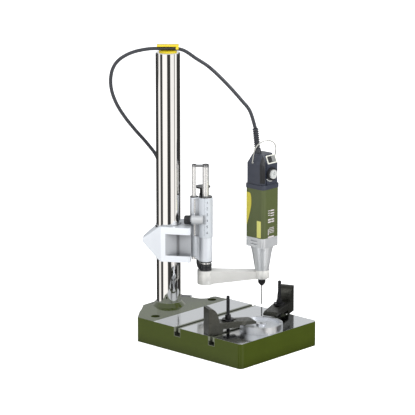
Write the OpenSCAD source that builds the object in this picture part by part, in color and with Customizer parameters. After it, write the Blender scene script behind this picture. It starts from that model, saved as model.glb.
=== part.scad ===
// Column drill stand with a spring-return quill, a small rotary tool,
// two work clamps and its mains cord. Origin: column axis on the bench.

/* [Base] */
// Distance from the column axis to the front edge
base_front = 275; // [265:1:290]
// Half of the base width
base_half_w = 103; // [100:1:110]
// Height of the table above the bench
base_h = 46; // [46:1:52]
// Radius of the vertical front corners
base_corner_r = 7; // [3:0.5:12]
// First T-slot, distance from the column axis
rear_slot_x = 119.5; // [110:0.5:130]
// Second T-slot, distance from the column axis
front_slot_x = 203.7; // [195:0.1:206]
// Width of the T-slot throat
slot_throat_w = 6.6; // [6.6:0.1:7]
// Width of the T-slot chamber
slot_chamber_w = 14; // [14:0.2:16]
// Distance between the two rear mounting holes
mount_pitch = 152; // [148:1:156]
// Diameter of the mounting holes
mount_hole_d = 9; // [7:0.5:10]
// Diameter of the counterbores of the mounting holes
mount_cbore_d = 16.5; // [14:0.5:18]

/* [Column] */
// Diameter of the column
column_d = 45; // [44:0.5:46]
// Height of the column's top above the bench
column_top = 522; // [500:1:560]
// Diameter of the cable holder's lower disc
holder_d = 33; // [30:1:40]

/* [Head] */
// Angle of the head about the column
head_swing = 40; // [35:1:45]
// Underside of the head casting
head_z0 = 135.5; // [130:0.5:136]
// Top of the head casting
head_z1 = 201; // [200:0.5:202]
// Distance from the column axis to the front of the head casting
head_front = 43; // [42:0.5:44]

/* [Quill] */
// Distance from the column axis to the rear rod
rear_rod_x = 47.4; // [47:0.1:48]
// Diameter of the rear rod
rear_rod_d = 8; // [6:0.5:8]
// Distance from the column axis to the front rod
front_rod_x = 68.8; // [68:0.1:70]
// Diameter of the front rod
front_rod_d = 12; // [10:0.5:12]
// Top of the quill housing
housing_top = 251.5; // [250:0.5:253]
// Underside of the yoke that joins the rods
yoke_z = 308.5; // [305:0.5:315]
// Distance from the column axis to the spindle
tool_x = 173; // [165:1:180]

/* [Rotary tool] */
// Width of the tool body
tool_w = 45; // [44:0.5:46]
// Width of the rear cap
cap_w = 42; // [41:0.5:43]
// Diameter of the drill bit
bit_d = 2.2; // [0.8:0.1:3]

/* [Clamps] */
// Left clamp bolt, distance along the slot from the middle
left_bolt_y = -59; // [-63:1:-57]
// Direction in which the left clamp points
left_clamp_dir = 65; // [62:1:70]
// Right clamp bolt, distance along the slot from the middle
right_bolt_y = 80; // [76:1:82]
// Direction in which the right clamp points
right_clamp_dir = -69; // [-73:1:-65]
// Width of each clamp
clamp_w = 26; // [20:1:27]
// Diameter of the clamp bolts
bolt_d = 6; // [5:0.5:6]

/* [Cord] */
// Diameter of the cord
cord_d = 6.5; // [6:0.1:6.5]

/* [Hidden] */

$fn = 64;
over = 1;
run_gap = 0.05;
fit_gap = 0.02;
free_gap = 0.3;

// Colours
green = [0.13, 0.22, 0.09];
light_metal = [0.82, 0.84, 0.86];
steel = [0.62, 0.63, 0.65];
dark_steel = [0.2, 0.2, 0.2];
black = [0.06, 0.06, 0.07];
grey_plastic = [0.2, 0.21, 0.24];
tool_green = [0.2, 0.27, 0.12];
yellow = [0.85, 0.78, 0.1];
white = [0.9, 0.9, 0.88];
bronze = [0.7, 0.5, 0.25];

// Base outline at table height, without the front corners
near_outline = [
    [-31, 0], [-31, -15], [-30, -38], [-15, -56], [-2, -76], [20, -base_half_w]
];
far_outline = [
    [60, base_half_w], [50, base_half_w - 5], [29, base_half_w - 5], [25, 92], [27, 78],
    [18, 67], [8, 64], [-1, 63], [-17, 49], [-28, 30], [-31, 15]
];
outline_round = 5;
round_steps = 5;
cell_x0 = 68;
cell_wall = 8;
cell_h = 24;
cell_rib = 8;
slot_throat_h = 8;
slot_chamber_h = 8;
mount_x = 39;
mount_cbore_h = 12;
column_socket = 20;
column_foot = base_h - column_socket;
column_chamfer = 1.2;
column_wall = 7.5;
set_screw_d = 8;
set_screw_drop = 10;
set_screw_z = base_h - set_screw_drop;
set_screw_len = 8;
set_hex_d = 4;
set_hex_depth = 3;
base_rear = 31;

flange_r0 = 31;
flange_r1 = 23.6;
flange_h = 7;

// Cable holder on the column's top
cord_dir = 43;
holder_disc_h = 2.5;
holder_pin_h = 18;
holder_plate = [40, 12, 3.4];
holder_plate_gap = 7.8;
holder_wall_y = 3.7;
holder_wall = [26, 3];
holder_lip = [5, 1.6, 5];
holder_lip_x = 14.5;
holder_cord_z = column_top + holder_disc_h + cord_d / 2 + free_gap;
cord_meet = free_gap / 2 * [cos(cord_dir), sin(cord_dir), 0];

// Workpiece
work_pos = [235, -5];
work_r = 39;
work_h = 12.5;
work_dish_r = 33;
work_dish_z = 8;
work_hub_r = 9;
work_hub_z = 11;
work_bore_r = 3;

// Clamps, heights above the table
bar_z0 = 9.7;
bar_z1 = 21.4;
nose_z0 = 12.8;
nose_z1 = 17;
nose_x = 50;
nose_step_x = 18;
nose_break = 6;
bar_taper_x = 10;
heel_x = -42;
foot_x = -14;
foot_slope = 2;
fin_h = 49;
fin_root_x = -22;
fin_arc_x = -38;
fin_steps = 8;
clamp_slot_w = 7;
clamp_slot_x0 = -10;
clamp_slot_x1 = 13;
bolt_top = 67;
bolt_tip = 1;
bolt_head_w = 13.2;
bolt_head_h = 6;
bolt_head_drop = 8.4;
washer_r = 10.5;
washer_h = 3.5;
washer_bore_r = 3.4;
nut_af = 10;
nut_h = 7;

// Head casting, in the head's own direction
bush_wall = 1.5;
bush_inset = 1.5;
bush_slit = 3;
head_post_r = 4;
head_rear_x = -15;
head_rear_y = 30;
head_front_y = 38;
ear_x = -42;
ear_r = 6;
ear_len = 24;
ear_z = 171;
ear_slit = 3;
pocket_z0 = 147.5;
pocket_z1 = 188;
pocket_plan = [[-4, -60], [-4, -31.6], [19, -21], [43.5, -30], [60, -30], [60, -60]];
hull_fn = 32;
clamp_screw_d = 8;
clamp_screw_x = -34;
clamp_screw_head_d = 13;
clamp_screw_head_h = 8;
clamp_screw_seat_y = 15;
clamp_screw_end_y = -15;
hex_socket_depth = 4;

// Quill housing
rear_post_r = 7.5;
rear_post_z0 = 139;
front_post_r = 12.5;
housing_z0 = 129.5;
housing_round = 2.5;
web_half = 5.5;
web_foot_x = 59;
chamber_r = 10;
lower_bush_top = 148;
upper_bush_z0 = 243;
rod_slot = [9.2, 7, 72];
rod_slot_x = 46.9;
rod_slot_y = -2.4;
rod_slot_z = 178;
flange_plate_x = 6.9;
flange_plate_y = [4, 24];
flange_plate_z = [140, 196];
plate_screw_y = 17;
plate_screw_z = [150, 186];
plate_screw_d = 6;
plate_screw_len = 15;
plate_screw_head_d = 10;
plate_screw_head_h = 6;
stop_x = 62.4;
stop_y = 19.5;
stop_lug_z = 226;
stop_lug_r = 6.5;
scale_z0 = 176.5;
scale_z1 = 250;
scale_t = 0.8;
scale_a0 = -152;
scale_sweep = 149;
seal_h = 1.5;
spring_r = 7.9;
spring_wire_r = 0.6;
spring_turns = 12;
spring_end_pitch = 1.7;
spring_end_turns = 1;
spring_steps = 8;
spring_sides = 6;
spring_z0 = 148.7;
spring_z1 = 237.2;
collar_z = 238;
collar_h = 4;
collar_r = 9.5;

// Lock of the quill
boss_r = 8.25;
boss_y = -13;
boss_lift = 10;
boss_z = head_z1 + boss_lift;
boss_x = [43.5, 64.5];
lock_knob_x = 29.5;
lock_knob_r = 8.5;
lock_knob_len = 11.5;
lock_knob_dome = 3.5;
lock_washer_r = 5.5;
lock_washer_t = 2.4;
lock_shank_r = 2.5;
lock_shank_end = 57;
knurl_count = 20;
knurl_r = 0.6;

// Depth stop
stop_ring_r = 6.5;
stop_ring_h = 2;
stop_hub_r = 5.5;
saucer_lift = 12;
saucer_z = housing_top + saucer_lift;
saucer_r = 14.2;
saucer_edge = 1.4;
saucer_h = 4.3;
stop_spindle_r = 3;
stop_spindle_z = 205;

// Rods, yoke and buffers
rod_foot = 88;
rear_rod_foot = 133;
yoke_t = 4;
yoke_half = 3;
yoke_screw_r = 2.5;
yoke_screw_len = 12;
yoke_head_h = 1;
yoke_head_inset = 0.4;
buffer_ring_z = [125.1, 128];
buffer_ring_r = 9.5;
buffer_collar_z = [113, 124.9];
buffer_collar_r = 11.25;
buffer_collar_groove = 0.9;
buffer_lug_w = 9;
buffer_lug = [
    [51.6, 134.1], [56.2, 130.2], [56.6, 127.8], [58.8, 124.8], [58.8, 114.5], [56, 115.5],
    [53, 120], [51.6, 127]
];

// Tool arm
arm_z0 = 87;
arm_tip_z0 = 100;
arm_z1 = 113;
arm_root_r = 12.5;
arm_tip_r = 9.5;
arm_boss_r = 15.6;
arm_collar_r = 14.25;
arm_collar_z1 = 115;
arm_screw_r = 2.5;
arm_boss_screw = [6.3, 13.5];
arm_collar_screw = [10.2, 13.8];
arm_boss_screw_z = 100;
arm_collar_screw_z = 107;

// Rotary tool
neck_r = 10;
neck_z0 = 97.5;
cone_z0 = 115;
cone_r0 = 12.85;
cone_z1 = 150;
cone_r1 = 18.5;
shoulder_r = 21.5;
band_z0 = 162;
body_z0 = 180;
trim_z0 = 272;
cap_z0 = 280;
cap_slope_z = 318.6;
cap_top = 336;
cap_top_w = 27.5;
tool_r = 7;
cap_r = 5;
shell_t = 2.5;
band_bore_r = 18;
trim_extra = 1.5;
trim_bore_w = 37;
vent = [16, 2.6, 2.2];
vent_z = [167, 173];
rib_slot = [6, 2, 50];
rib_slot_y = -16;
spindle_r = 4;
spindle_bore_r = 4.6;
spindle_z0 = 90;
spindle_z1 = 271;
bearing_r = 8;
front_bearing_z = [118, 126];
rear_bearing_z = [264, 270];
can_r = 17;
can_bore_r = 11;
can_z0 = 184;
can_z1 = 271.5;
can_front = 187;
can_rear = 262;
armature_r = 10.4;
armature_z = [190, 256];
nut_tip_z = 85;
nut_profile = [[3, 85], [5.5, 88], [7, 91], [7, 97]];
nut_socket_z = 89.9;
nut_top = 97;
bit_tip = 47.5;
bit_top = 89.8;
bit_point = 0.8;
dial_z = 300;
dial_ring_r = 12;
dial_ring_t = 4.7;
dial_cap_r = 8.5;
dial_cap_t = 3;
dial_shaft_r = 3;
dial_shaft_len = 4;
switch_y = 3.5;
switch_w = 24;
switch_l = 16;
switch_t = 1.6;
switch_hole = [20, 12];
switch_up = 8.2;
rocker_w = 19;
rocker_l = 11.2;
rocker_edge = 2.6;
rocker_pin_r = 1.5;
rocker_pin_len = 11.8;
bail_wire_r = 1.1;
bail_half = [7, 22.3];
bail_mid = [2, 0];
bail_z = 320;
bail_leg = 20;
bail_lean = 15.6;
bail_pin = 3.4;
relief_pos = [-6.1, -5.8];
relief_tilt = 5.9;
relief_turn = 45;
relief_base_r = 7;
relief_neck_r = 4.7;
relief_rib_r = 5.6;
relief_foot = 10;
relief_len = 46;
relief_ribs = 7;
relief_sink = 2;

// Cord route
lead_route = [
    [115.5, 96, 413], [104.5, 87, 432], [82, 68, 465], [60, 47, 494.5], [41, 31, 511],
    [23, 21.2, 523.6], [11, 10.3, 528.2]
];
tail_route = [
    [-11, -10.3, 528.2], [-26, -26, 527.6], [-44, -47, 522], [-60, -63, 510],
    [-70, -70.5, 494], [-76.5, -71, 473], [-80.5, -64.5, 448], [-81, -51, 421],
    [-78, -32.5, 394], [-71.5, -11.5, 367], [-62.5, 11, 339], [-54.5, 28, 311],
    [-53, 31, 278], [-51.5, 35, 238], [-50.5, 44, 205], [-50, 49, 165], [-49, 50, 120],
    [-47.5, 49.8, 78], [-46, 49.5, 42], [-47, 52, 20.5], [-52.4, 61, 8.6]
];
tail_landing = [-59, 73, 4.4];
coil_pos = [-30, 108];
coil_r = 42.6;
layer_turns = 1.75;
climb_turns = 0.5;
coil_pitch = 7.1;
coil_layer = 7;
coil_entry = 209.5;
coil_rest_z = 4.4;
coil_dip = 1.2;
coil_steps = 24;
coil_sides = 6;
cord_sides = 8;
route_steps = 3;
tie_angle = 30;
tie_w = 6;
tie_t = 0.7;
tie_gap = 0.4;
plug_run = 36;
plug_level = 14;
plug_cord_z = 7.3;
plug_len = 32;
plug_h = 14;
plug_neck_w = 11;
plug_end_w = 26;
plug_neck_len = 10;
pin_r = 2.4;
pin_len = 19;
pin_half_pitch = 9.3;

tool_pos = [tool_x * cos(head_swing), tool_x * sin(head_swing)];
cap_slope = atan((cap_w - cap_top_w) / 2 / (cap_top - cap_slope_z));

// Plane shapes and their points

function corner(a, b, c, r) = let (
    to_a = a - b, to_c = c - b,
    p = b + to_a * min(r, norm(to_a) / 2) / norm(to_a),
    q = b + to_c * min(r, norm(to_c) / 2) / norm(to_c)
) [for (i = [0:round_steps]) let (t = i / round_steps)
    (1 - t) * (1 - t) * p + 2 * t * (1 - t) * b + t * t * q];

// Every corner rounded, or on an open line every corner but its two ends
function rounded(points, r, open = false) = let (n = len(points)) [for (i = [0:n - 1])
    each open && (i == 0 || i == n - 1) ? [points[i]]
        : corner(points[(i + n - 1) % n], points[i], points[(i + 1) % n], r)];

function arc(centre, r, a0, a1, steps) =
    [for (i = [0:steps]) let (a = a0 + (a1 - a0) * i / steps) centre + r * [cos(a), sin(a)]];

module rounded_square(w, r) {
    square([w, w - 2 * r], center = true);
    square([w - 2 * r, w], center = true);
    for (x = [-1, 1], y = [-1, 1]) translate([x, y] * (w / 2 - r)) circle(r);
}

module ring(r_out, r_in, z0, z1) {
    translate([0, 0, z0]) difference() {
        cylinder(r = r_out, h = z1 - z0);
        translate([0, 0, -over]) cylinder(r = r_in, h = z1 - z0 + 2 * over);
    }
}

module bar(r, z0, z1) {
    translate([0, 0, z0]) cylinder(r = r, h = z1 - z0);
}

module hex_socket(af, z0, z1) {
    translate([0, 0, z0]) cylinder(d = af / cos(30), h = z1 - z0, $fn = 6);
}

// Tubes swept along a list of points

function unit(v) = v / norm(v);

function tangent(p, i) = unit(p[min(i + 1, len(p) - 1)] - p[max(i - 1, 0)]);

function carried(n, t) = unit(n - (n * t) * t);

function normals(p, i, n) = i >= len(p) ? [] :
    let (m = carried(n, tangent(p, i))) concat([m], normals(p, i + 1, m));

function spline_point(a, b, c, d, t) =
    0.5 * (2 * b + (c - a) * t + (2 * a - 5 * b + 4 * c - d) * t * t
    + (3 * b - a - 3 * c + d) * t * t * t);

function spline(p, steps) = let (n = len(p)) concat(
    [for (i = [0:n - 2], s = [0:steps - 1])
        spline_point(p[max(i - 1, 0)], p[i], p[i + 1], p[min(i + 2, n - 1)], s / steps)],
    [p[n - 1]]);

module tube(p, r, sides, first_normal) {
    side = normals(p, 0, first_normal);
    points = [for (i = [0:len(p) - 1]) let (a = side[i], b = cross(tangent(p, i), a))
        for (k = [0:sides - 1]) p[i] + r * (a * cos(360 * k / sides) + b * sin(360 * k / sides))];
    last = (len(p) - 1) * sides;
    walls = [for (i = [0:len(p) - 2], k = [0:sides - 1]) let (
        here = i * sides, next = here + sides, k2 = (k + 1) % sides
    ) each [[here + k, next + k, next + k2], [here + k, next + k2, here + k2]]];
    caps = [[for (k = [0:sides - 1]) k], [for (k = [sides - 1:-1:0]) last + k]];
    polyhedron(points, concat(caps, walls), convexity = 10);
}

// Places

module at_head() {
    rotate([0, 0, head_swing]) children();
}

module at_rear_rod() {
    at_head() translate([rear_rod_x, 0, 0]) children();
}

module at_front_rod() {
    at_head() translate([front_rod_x, 0, 0]) children();
}

module at_tool() {
    translate([tool_pos[0], tool_pos[1], 0]) children();
}

module at_boss(x) {
    at_head() translate([x, boss_y, boss_z]) rotate([0, 90, 0]) children();
}

module at_stop() {
    at_head() translate([stop_x, stop_y, 0]) children();
}

module at_left() {
    translate([front_slot_x, left_bolt_y, base_h]) rotate([0, 0, left_clamp_dir]) children();
}

module at_right() {
    translate([front_slot_x, right_bolt_y, base_h]) rotate([0, 0, right_clamp_dir]) children();
}

// Sloped face of the rear cap: x leads up the slope, z leaves the face
module at_slope() {
    at_tool() translate([cap_w / 2, switch_y, cap_slope_z]) rotate([0, 90 - cap_slope, 0])
        rotate([0, 0, 180]) translate([switch_up, 0, 0]) children();
}

// Base and column

module base_outline() {
    near = [base_front - base_corner_r, base_corner_r - base_half_w];
    far = [base_front - base_corner_r, base_half_w - base_corner_r];
    polygon(concat(
        rounded(near_outline, outline_round, open = true),
        arc(near, base_corner_r, -90, 0, round_steps),
        arc(far, base_corner_r, 0, 90, round_steps),
        rounded(far_outline, outline_round, open = true)));
}

module t_slot(x) {
    length = 2 * (base_half_w + over);
    translate([x - slot_throat_w / 2, -length / 2, base_h - slot_throat_h - over])
        cube([slot_throat_w, length, slot_throat_h + 2 * over]);
    translate([x - slot_chamber_w / 2, -length / 2, base_h - slot_throat_h - slot_chamber_h])
        cube([slot_chamber_w, length, slot_chamber_h]);
}

module base_casting() {
    cell_x1 = base_front - cell_wall;
    cell_y = base_half_w - cell_wall - cell_rib / 2;
    color(green) difference() {
        linear_extrude(base_h) base_outline();
        bar(column_d / 2 + run_gap, column_foot, base_h + over);
        for (y = [cell_rib / 2, -cell_rib / 2 - cell_y]) translate([cell_x0, y, -over])
            cube([cell_x1 - cell_x0, cell_y, cell_h + over]);
        t_slot(rear_slot_x);
        t_slot(front_slot_x);
        for (side = [-1, 1]) translate([mount_x, side * mount_pitch / 2, 0]) {
            bar(mount_hole_d / 2, -over, base_h + over);
            bar(mount_cbore_d / 2, base_h - mount_cbore_h, base_h + over);
        }
        translate([-base_rear - over, 0, set_screw_z]) rotate([0, 90, 0])
            cylinder(d = set_screw_d, h = base_rear);
    }
}

module column() {
    r = column_d / 2;
    color(light_metal) difference() {
        rotate_extrude() polygon([
            [0, column_foot], [r, column_foot], [r, column_top - column_chamfer],
            [r - column_chamfer, column_top], [0, column_top]
        ]);
        bar(r - column_wall, column_foot - over, column_top + over);
    }
}

module column_set_screw() {
    color(dark_steel) translate([-column_d / 2 - run_gap, 0, set_screw_z]) rotate([0, -90, 0])
        difference() {
            cylinder(d = set_screw_d, h = set_screw_len);
            hex_socket(set_hex_d, set_screw_len - set_hex_depth, set_screw_len + over);
        }
}

module column_flange() {
    color(green) rotate_extrude() polygon([
        [column_d / 2 + run_gap, base_h], [flange_r0, base_h],
        [flange_r1, base_h + flange_h], [column_d / 2 + run_gap, base_h + flange_h]
    ]);
}

module cable_holder() {
    plate_z = holder_disc_h + holder_plate_gap;
    color(yellow) translate([0, 0, column_top]) rotate([0, 0, cord_dir]) {
        cylinder(d = holder_d, h = holder_disc_h);
        bar(column_d / 2 - column_wall - fit_gap, -holder_pin_h, holder_disc_h);
        translate([-holder_wall[0] / 2, holder_wall_y, 0])
            cube([holder_wall[0], holder_wall[1], plate_z + holder_plate[2]]);
        translate([-holder_plate[0] / 2, holder_wall_y + holder_wall[1] - holder_plate[1], plate_z])
            cube(holder_plate);
        translate([holder_lip_x, holder_wall_y + holder_wall[1] - holder_plate[1],
            plate_z - holder_lip[2]])
            cube([holder_lip[0], holder_lip[1] - free_gap, holder_lip[2] + holder_plate[2]]);
    }
}

module workpiece() {
    color(light_metal) translate([work_pos[0], work_pos[1], base_h]) rotate_extrude() polygon([
        [work_bore_r, 0], [work_r, 0], [work_r, work_h], [work_dish_r, work_h],
        [work_dish_r, work_dish_z], [work_hub_r, work_dish_z], [work_hub_r, work_hub_z],
        [work_bore_r, work_hub_z]
    ]);
}

// Clamps

function clamp_profile() = concat(
    [[heel_x, 0], [foot_x - foot_slope, 0], [foot_x, bar_z0], [nose_step_x, bar_z0],
        [nose_step_x, nose_z0], [nose_x, nose_z0], [nose_x, nose_z1],
        [nose_x - nose_break, bar_z1 - foot_slope], [bar_taper_x, bar_z1]],
    [for (i = [0:fin_steps]) let (a = 90 * i / fin_steps)
        [fin_arc_x + (fin_root_x - fin_arc_x) * cos(a), bar_z1 + (fin_h - bar_z1) * sin(a)]],
    [[heel_x, fin_h]]);

module clamp_body() {
    color(dark_steel) difference() {
        rotate([90, 0, 0]) translate([0, 0, -clamp_w / 2])
            linear_extrude(clamp_w) polygon(clamp_profile());
        translate([0, 0, bar_z0 - over]) linear_extrude(bar_z1 - bar_z0 + 2 * over) {
            translate([clamp_slot_x0, -clamp_slot_w / 2])
                square([clamp_slot_x1 - clamp_slot_x0, clamp_slot_w]);
            for (x = [clamp_slot_x0, clamp_slot_x1]) translate([x, 0]) circle(d = clamp_slot_w);
        }
    }
}

module clamp_bolt(y) {
    color(dark_steel) translate([front_slot_x, y, base_h]) {
        translate([-bolt_head_w / 2, -bolt_head_w / 2, -bolt_head_drop - bolt_head_h])
            cube([bolt_head_w, bolt_head_w, bolt_head_h]);
        bar(bolt_d / 2, -bolt_head_drop - over, bolt_top - bolt_tip);
        translate([0, 0, bolt_top - bolt_tip])
            cylinder(r1 = bolt_d / 2, r2 = bolt_d / 2 - bolt_tip, h = bolt_tip);
    }
}

module clamp_washer() {
    color(steel) ring(washer_r, washer_bore_r, bar_z1, bar_z1 + washer_h);
}

module clamp_nut() {
    z0 = bar_z1 + washer_h;
    color(dark_steel) difference() {
        hex_socket(nut_af, z0, z0 + nut_h);
        bar(bolt_d / 2 + run_gap, z0 - over, z0 + nut_h + over);
    }
}

module left_bolt() {
    clamp_bolt(left_bolt_y);
}

module left_clamp() {
    at_left() clamp_body();
}

module left_washer() {
    at_left() clamp_washer();
}

module left_nut() {
    at_left() clamp_nut();
}

module right_bolt() {
    clamp_bolt(right_bolt_y);
}

module right_clamp() {
    at_right() clamp_body();
}

module right_washer() {
    at_right() clamp_washer();
}

module right_nut() {
    at_right() clamp_nut();
}

// Head

module clamp_bush() {
    r_in = column_d / 2 + run_gap;
    color(bronze) at_head() difference() {
        ring(r_in + bush_wall, r_in, head_z0 + bush_inset, head_z1 - bush_inset);
        translate([-column_d, -bush_slit / 2, head_z0])
            cube([column_d, bush_slit, head_z1 - head_z0]);
    }
}

module head_posts(places, z0, z1) {
    for (p = places) translate([p[0], p[1], z0])
        cylinder(r = head_post_r, h = z1 - z0, $fn = hull_fn);
}

module head_casting() {
    rear = [for (s = [-1, 1]) [head_rear_x + head_post_r, s * (head_rear_y - head_post_r)]];
    front = [for (s = [-1, 1]) [head_front - head_post_r, s * (head_front_y - head_post_r)]];
    bush_r = column_d / 2 + run_gap + bush_wall;
    color(light_metal) at_head() difference() {
        union() {
            hull() head_posts(concat(rear, front), head_z0, head_z1);
            hull() {
                head_posts(rear, head_z0, head_z1);
                translate([ear_x, 0, ear_z]) rotate([90, 0, 0])
                    cylinder(r = ear_r, h = ear_len, center = true, $fn = hull_fn);
            }
        }
        bar(bush_r + run_gap, head_z0 - over, head_z1 + over);
        translate([ear_x - column_d, -ear_slit / 2, head_z0 - over])
            cube([column_d, ear_slit, head_z1 - head_z0 + 2 * over]);
        translate([0, 0, pocket_z0]) linear_extrude(pocket_z1 - pocket_z0) polygon(pocket_plan);
        translate([rear_rod_x, 0, 0]) bar(rear_post_r + run_gap, head_z0 - over, head_z1 + over);
        translate([clamp_screw_x, clamp_screw_end_y, ear_z]) rotate([-90, 0, 0]) {
            cylinder(d = clamp_screw_d + fit_gap, h = clamp_screw_seat_y - clamp_screw_end_y + over);
            bar(clamp_screw_head_d / 2 + free_gap, clamp_screw_seat_y - clamp_screw_end_y,
                column_d);
        }
        for (z = plate_screw_z) translate([head_front, plate_screw_y, z]) rotate([0, 90, 0])
            bar(plate_screw_d / 2 + fit_gap, -plate_screw_len, over);
    }
}

module head_clamp_screws() {
    shank = clamp_screw_seat_y - clamp_screw_end_y;
    color(dark_steel) at_head() translate([clamp_screw_x, clamp_screw_end_y, ear_z])
        rotate([-90, 0, 0]) difference() {
            union() {
                bar(clamp_screw_d / 2, fit_gap, shank + fit_gap);
                bar(clamp_screw_head_d / 2, shank, shank + clamp_screw_head_h);
            }
            hex_socket(plate_screw_d, shank + hex_socket_depth, shank + column_d);
        }
}

module housing_post(r, z0, z1) {
    rotate_extrude() polygon(concat(
        [[0, z0]],
        arc([r - housing_round, z0 + housing_round], housing_round, -90, 0, round_steps),
        [[r, z1], [0, z1]]));
}

module quill_housing() {
    plate_x = head_front + run_gap;
    color(light_metal) difference() {
        union() {
            at_rear_rod() housing_post(rear_post_r, rear_post_z0, housing_top);
            at_front_rod() housing_post(front_post_r, housing_z0, housing_top);
            at_head() rotate([90, 0, 0]) translate([0, 0, -web_half])
                linear_extrude(2 * web_half) polygon([
                    [rear_rod_x, rear_post_z0], [web_foot_x, housing_z0],
                    [front_rod_x, housing_z0], [front_rod_x, housing_top],
                    [rear_rod_x, housing_top]
                ]);
            at_head() translate([plate_x, flange_plate_y[0], flange_plate_z[0]])
                cube([flange_plate_x, flange_plate_y[1] - flange_plate_y[0],
                    flange_plate_z[1] - flange_plate_z[0]]);
            at_stop() bar(stop_lug_r, stop_lug_z, housing_top);
            at_stop() translate([-stop_lug_r, -stop_y + web_half, stop_lug_z])
                cube([2 * stop_lug_r, stop_y - web_half, housing_top - stop_lug_z]);
        }
        at_rear_rod() bar(rear_rod_d / 2 + run_gap, housing_z0 - over, housing_top + over);
        at_front_rod() bar(chamber_r, housing_z0 - over, housing_top + over);
        at_head() translate([rod_slot_x, rod_slot_y - rod_slot[1], rod_slot_z]) cube(rod_slot);
        at_stop() bar(stop_spindle_r + run_gap, stop_lug_z - over, housing_top + over);
        at_head() for (z = plate_screw_z) translate([plate_x - over, plate_screw_y, z])
            rotate([0, 90, 0]) cylinder(r = plate_screw_d / 2 + free_gap, h = flange_plate_x + 2 * over);
    }
}

module housing_screws() {
    seat = flange_plate_x + run_gap;
    color(dark_steel) at_head() for (z = plate_screw_z)
        translate([head_front, plate_screw_y, z]) rotate([0, 90, 0]) difference() {
            union() {
                bar(plate_screw_d / 2, fit_gap - plate_screw_len, seat + over);
                bar(plate_screw_head_d / 2, seat, seat + plate_screw_head_h);
            }
            hex_socket(plate_screw_d - over, seat + hex_socket_depth, seat + plate_screw_len);
        }
}

module scale_plate() {
    r_in = front_post_r + run_gap;
    color(light_metal) difference() {
        at_front_rod() rotate([0, 0, scale_a0]) rotate_extrude(angle = scale_sweep)
            translate([r_in, scale_z0]) square([scale_t, scale_z1 - scale_z0]);
        at_boss(head_front) cylinder(r = boss_r + run_gap, h = front_rod_x - head_front + over);
    }
}

module rod_seals() {
    color(black) {
        at_rear_rod() ring(rear_post_r, rear_rod_d / 2 + free_gap, housing_top,
            housing_top + seal_h);
        at_front_rod() difference() {
            ring(front_post_r, front_rod_d / 2 + free_gap, housing_top, housing_top + seal_h);
            translate([rear_rod_x - front_rod_x, 0, 0])
                bar(rear_post_r + run_gap, housing_top - over, housing_top + seal_h + over);
        }
    }
}

module guide_bushes() {
    r_in = front_rod_d / 2 + run_gap;
    color(bronze) at_front_rod() {
        ring(chamber_r - fit_gap, r_in, housing_z0, lower_bush_top);
        ring(chamber_r - fit_gap, r_in, upper_bush_z0, housing_top);
    }
}

// One closed turn at each end, and the working turns between them
function spring_point(turn) = let (
    ends = min(turn, spring_end_turns) + max(turn - spring_end_turns - spring_turns, 0),
    works = min(max(turn - spring_end_turns, 0), spring_turns),
    closed = 2 * (spring_wire_r + spring_end_pitch * spring_end_turns),
    pitch = (spring_z1 - spring_z0 - closed) / spring_turns
) [spring_r * cos(360 * turn), spring_r * sin(360 * turn),
    spring_z0 + spring_wire_r + spring_end_pitch * ends + pitch * works];

function spring_route() =
    [for (i = [0:(spring_turns + 2 * spring_end_turns) * spring_steps])
        spring_point(i / spring_steps)];

module return_spring() {
    color(steel) at_front_rod() tube(spring_route(), spring_wire_r, spring_sides, [1, 0, 0]);
}

module lock_boss() {
    length = boss_x[1] - boss_x[0];
    color(light_metal) difference() {
        at_boss(boss_x[0]) cylinder(r = boss_r, h = length);
        at_rear_rod() bar(rear_post_r + fit_gap, head_z1, housing_top);
        at_front_rod() bar(front_post_r + fit_gap, head_z1, housing_top);
        at_rear_rod() translate([0, -web_half - fit_gap, head_z1])
            cube([front_rod_x - rear_rod_x, 2 * web_half, housing_top - head_z1]);
        at_boss(boss_x[0] - over) cylinder(r = lock_shank_r + run_gap,
            h = lock_shank_end - boss_x[0] + 2 * over);
    }
}

module lock_knob() {
    color(black) {
        at_boss(lock_knob_x) difference() {
            rotate_extrude() polygon(concat(
                [[0, 0]],
                arc([lock_knob_r - lock_knob_dome, lock_knob_dome], lock_knob_dome, -90, 0,
                    round_steps),
                [[lock_knob_r, lock_knob_len], [0, lock_knob_len]]));
            for (i = [0:knurl_count - 1]) rotate([0, 0, 360 * i / knurl_count])
                translate([lock_knob_r, 0, -over])
                    cylinder(r = knurl_r, h = lock_knob_len + 2 * over, $fn = 16);
        }
        at_boss(lock_knob_x + lock_knob_len - over)
            cylinder(r = lock_shank_r, h = lock_shank_end - lock_knob_x - lock_knob_len + over);
    }
}

module lock_washer() {
    color(light_metal) at_boss(boss_x[0] - lock_washer_t)
        ring(lock_washer_r, lock_shank_r + run_gap, 0, lock_washer_t);
}

module stop_ring() {
    color(black) at_stop() ring(stop_ring_r, stop_spindle_r + run_gap, housing_top,
        housing_top + stop_ring_h);
}

module stop_knob() {
    hub_z = housing_top + stop_ring_h;
    color(black) at_stop() {
        bar(stop_spindle_r, stop_spindle_z, hub_z + over);
        rotate_extrude() polygon([
            [0, hub_z], [stop_hub_r, hub_z], [stop_hub_r, saucer_z],
            [saucer_r - saucer_edge, saucer_z + saucer_edge], [saucer_r, saucer_z + 2 * saucer_edge],
            [saucer_r, saucer_z + saucer_h], [0, saucer_z + saucer_h]
        ]);
    }
}

// Quill

module rod(r, z0) {
    difference() {
        bar(r, z0, yoke_z);
        bar(yoke_screw_r + run_gap, yoke_z - yoke_screw_len, yoke_z + over);
    }
}

module front_rod() {
    color(steel) at_front_rod() rod(front_rod_d / 2, rod_foot);
}

module rear_rod() {
    color(steel) at_rear_rod() rod(rear_rod_d / 2, rear_rod_foot);
}

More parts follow.
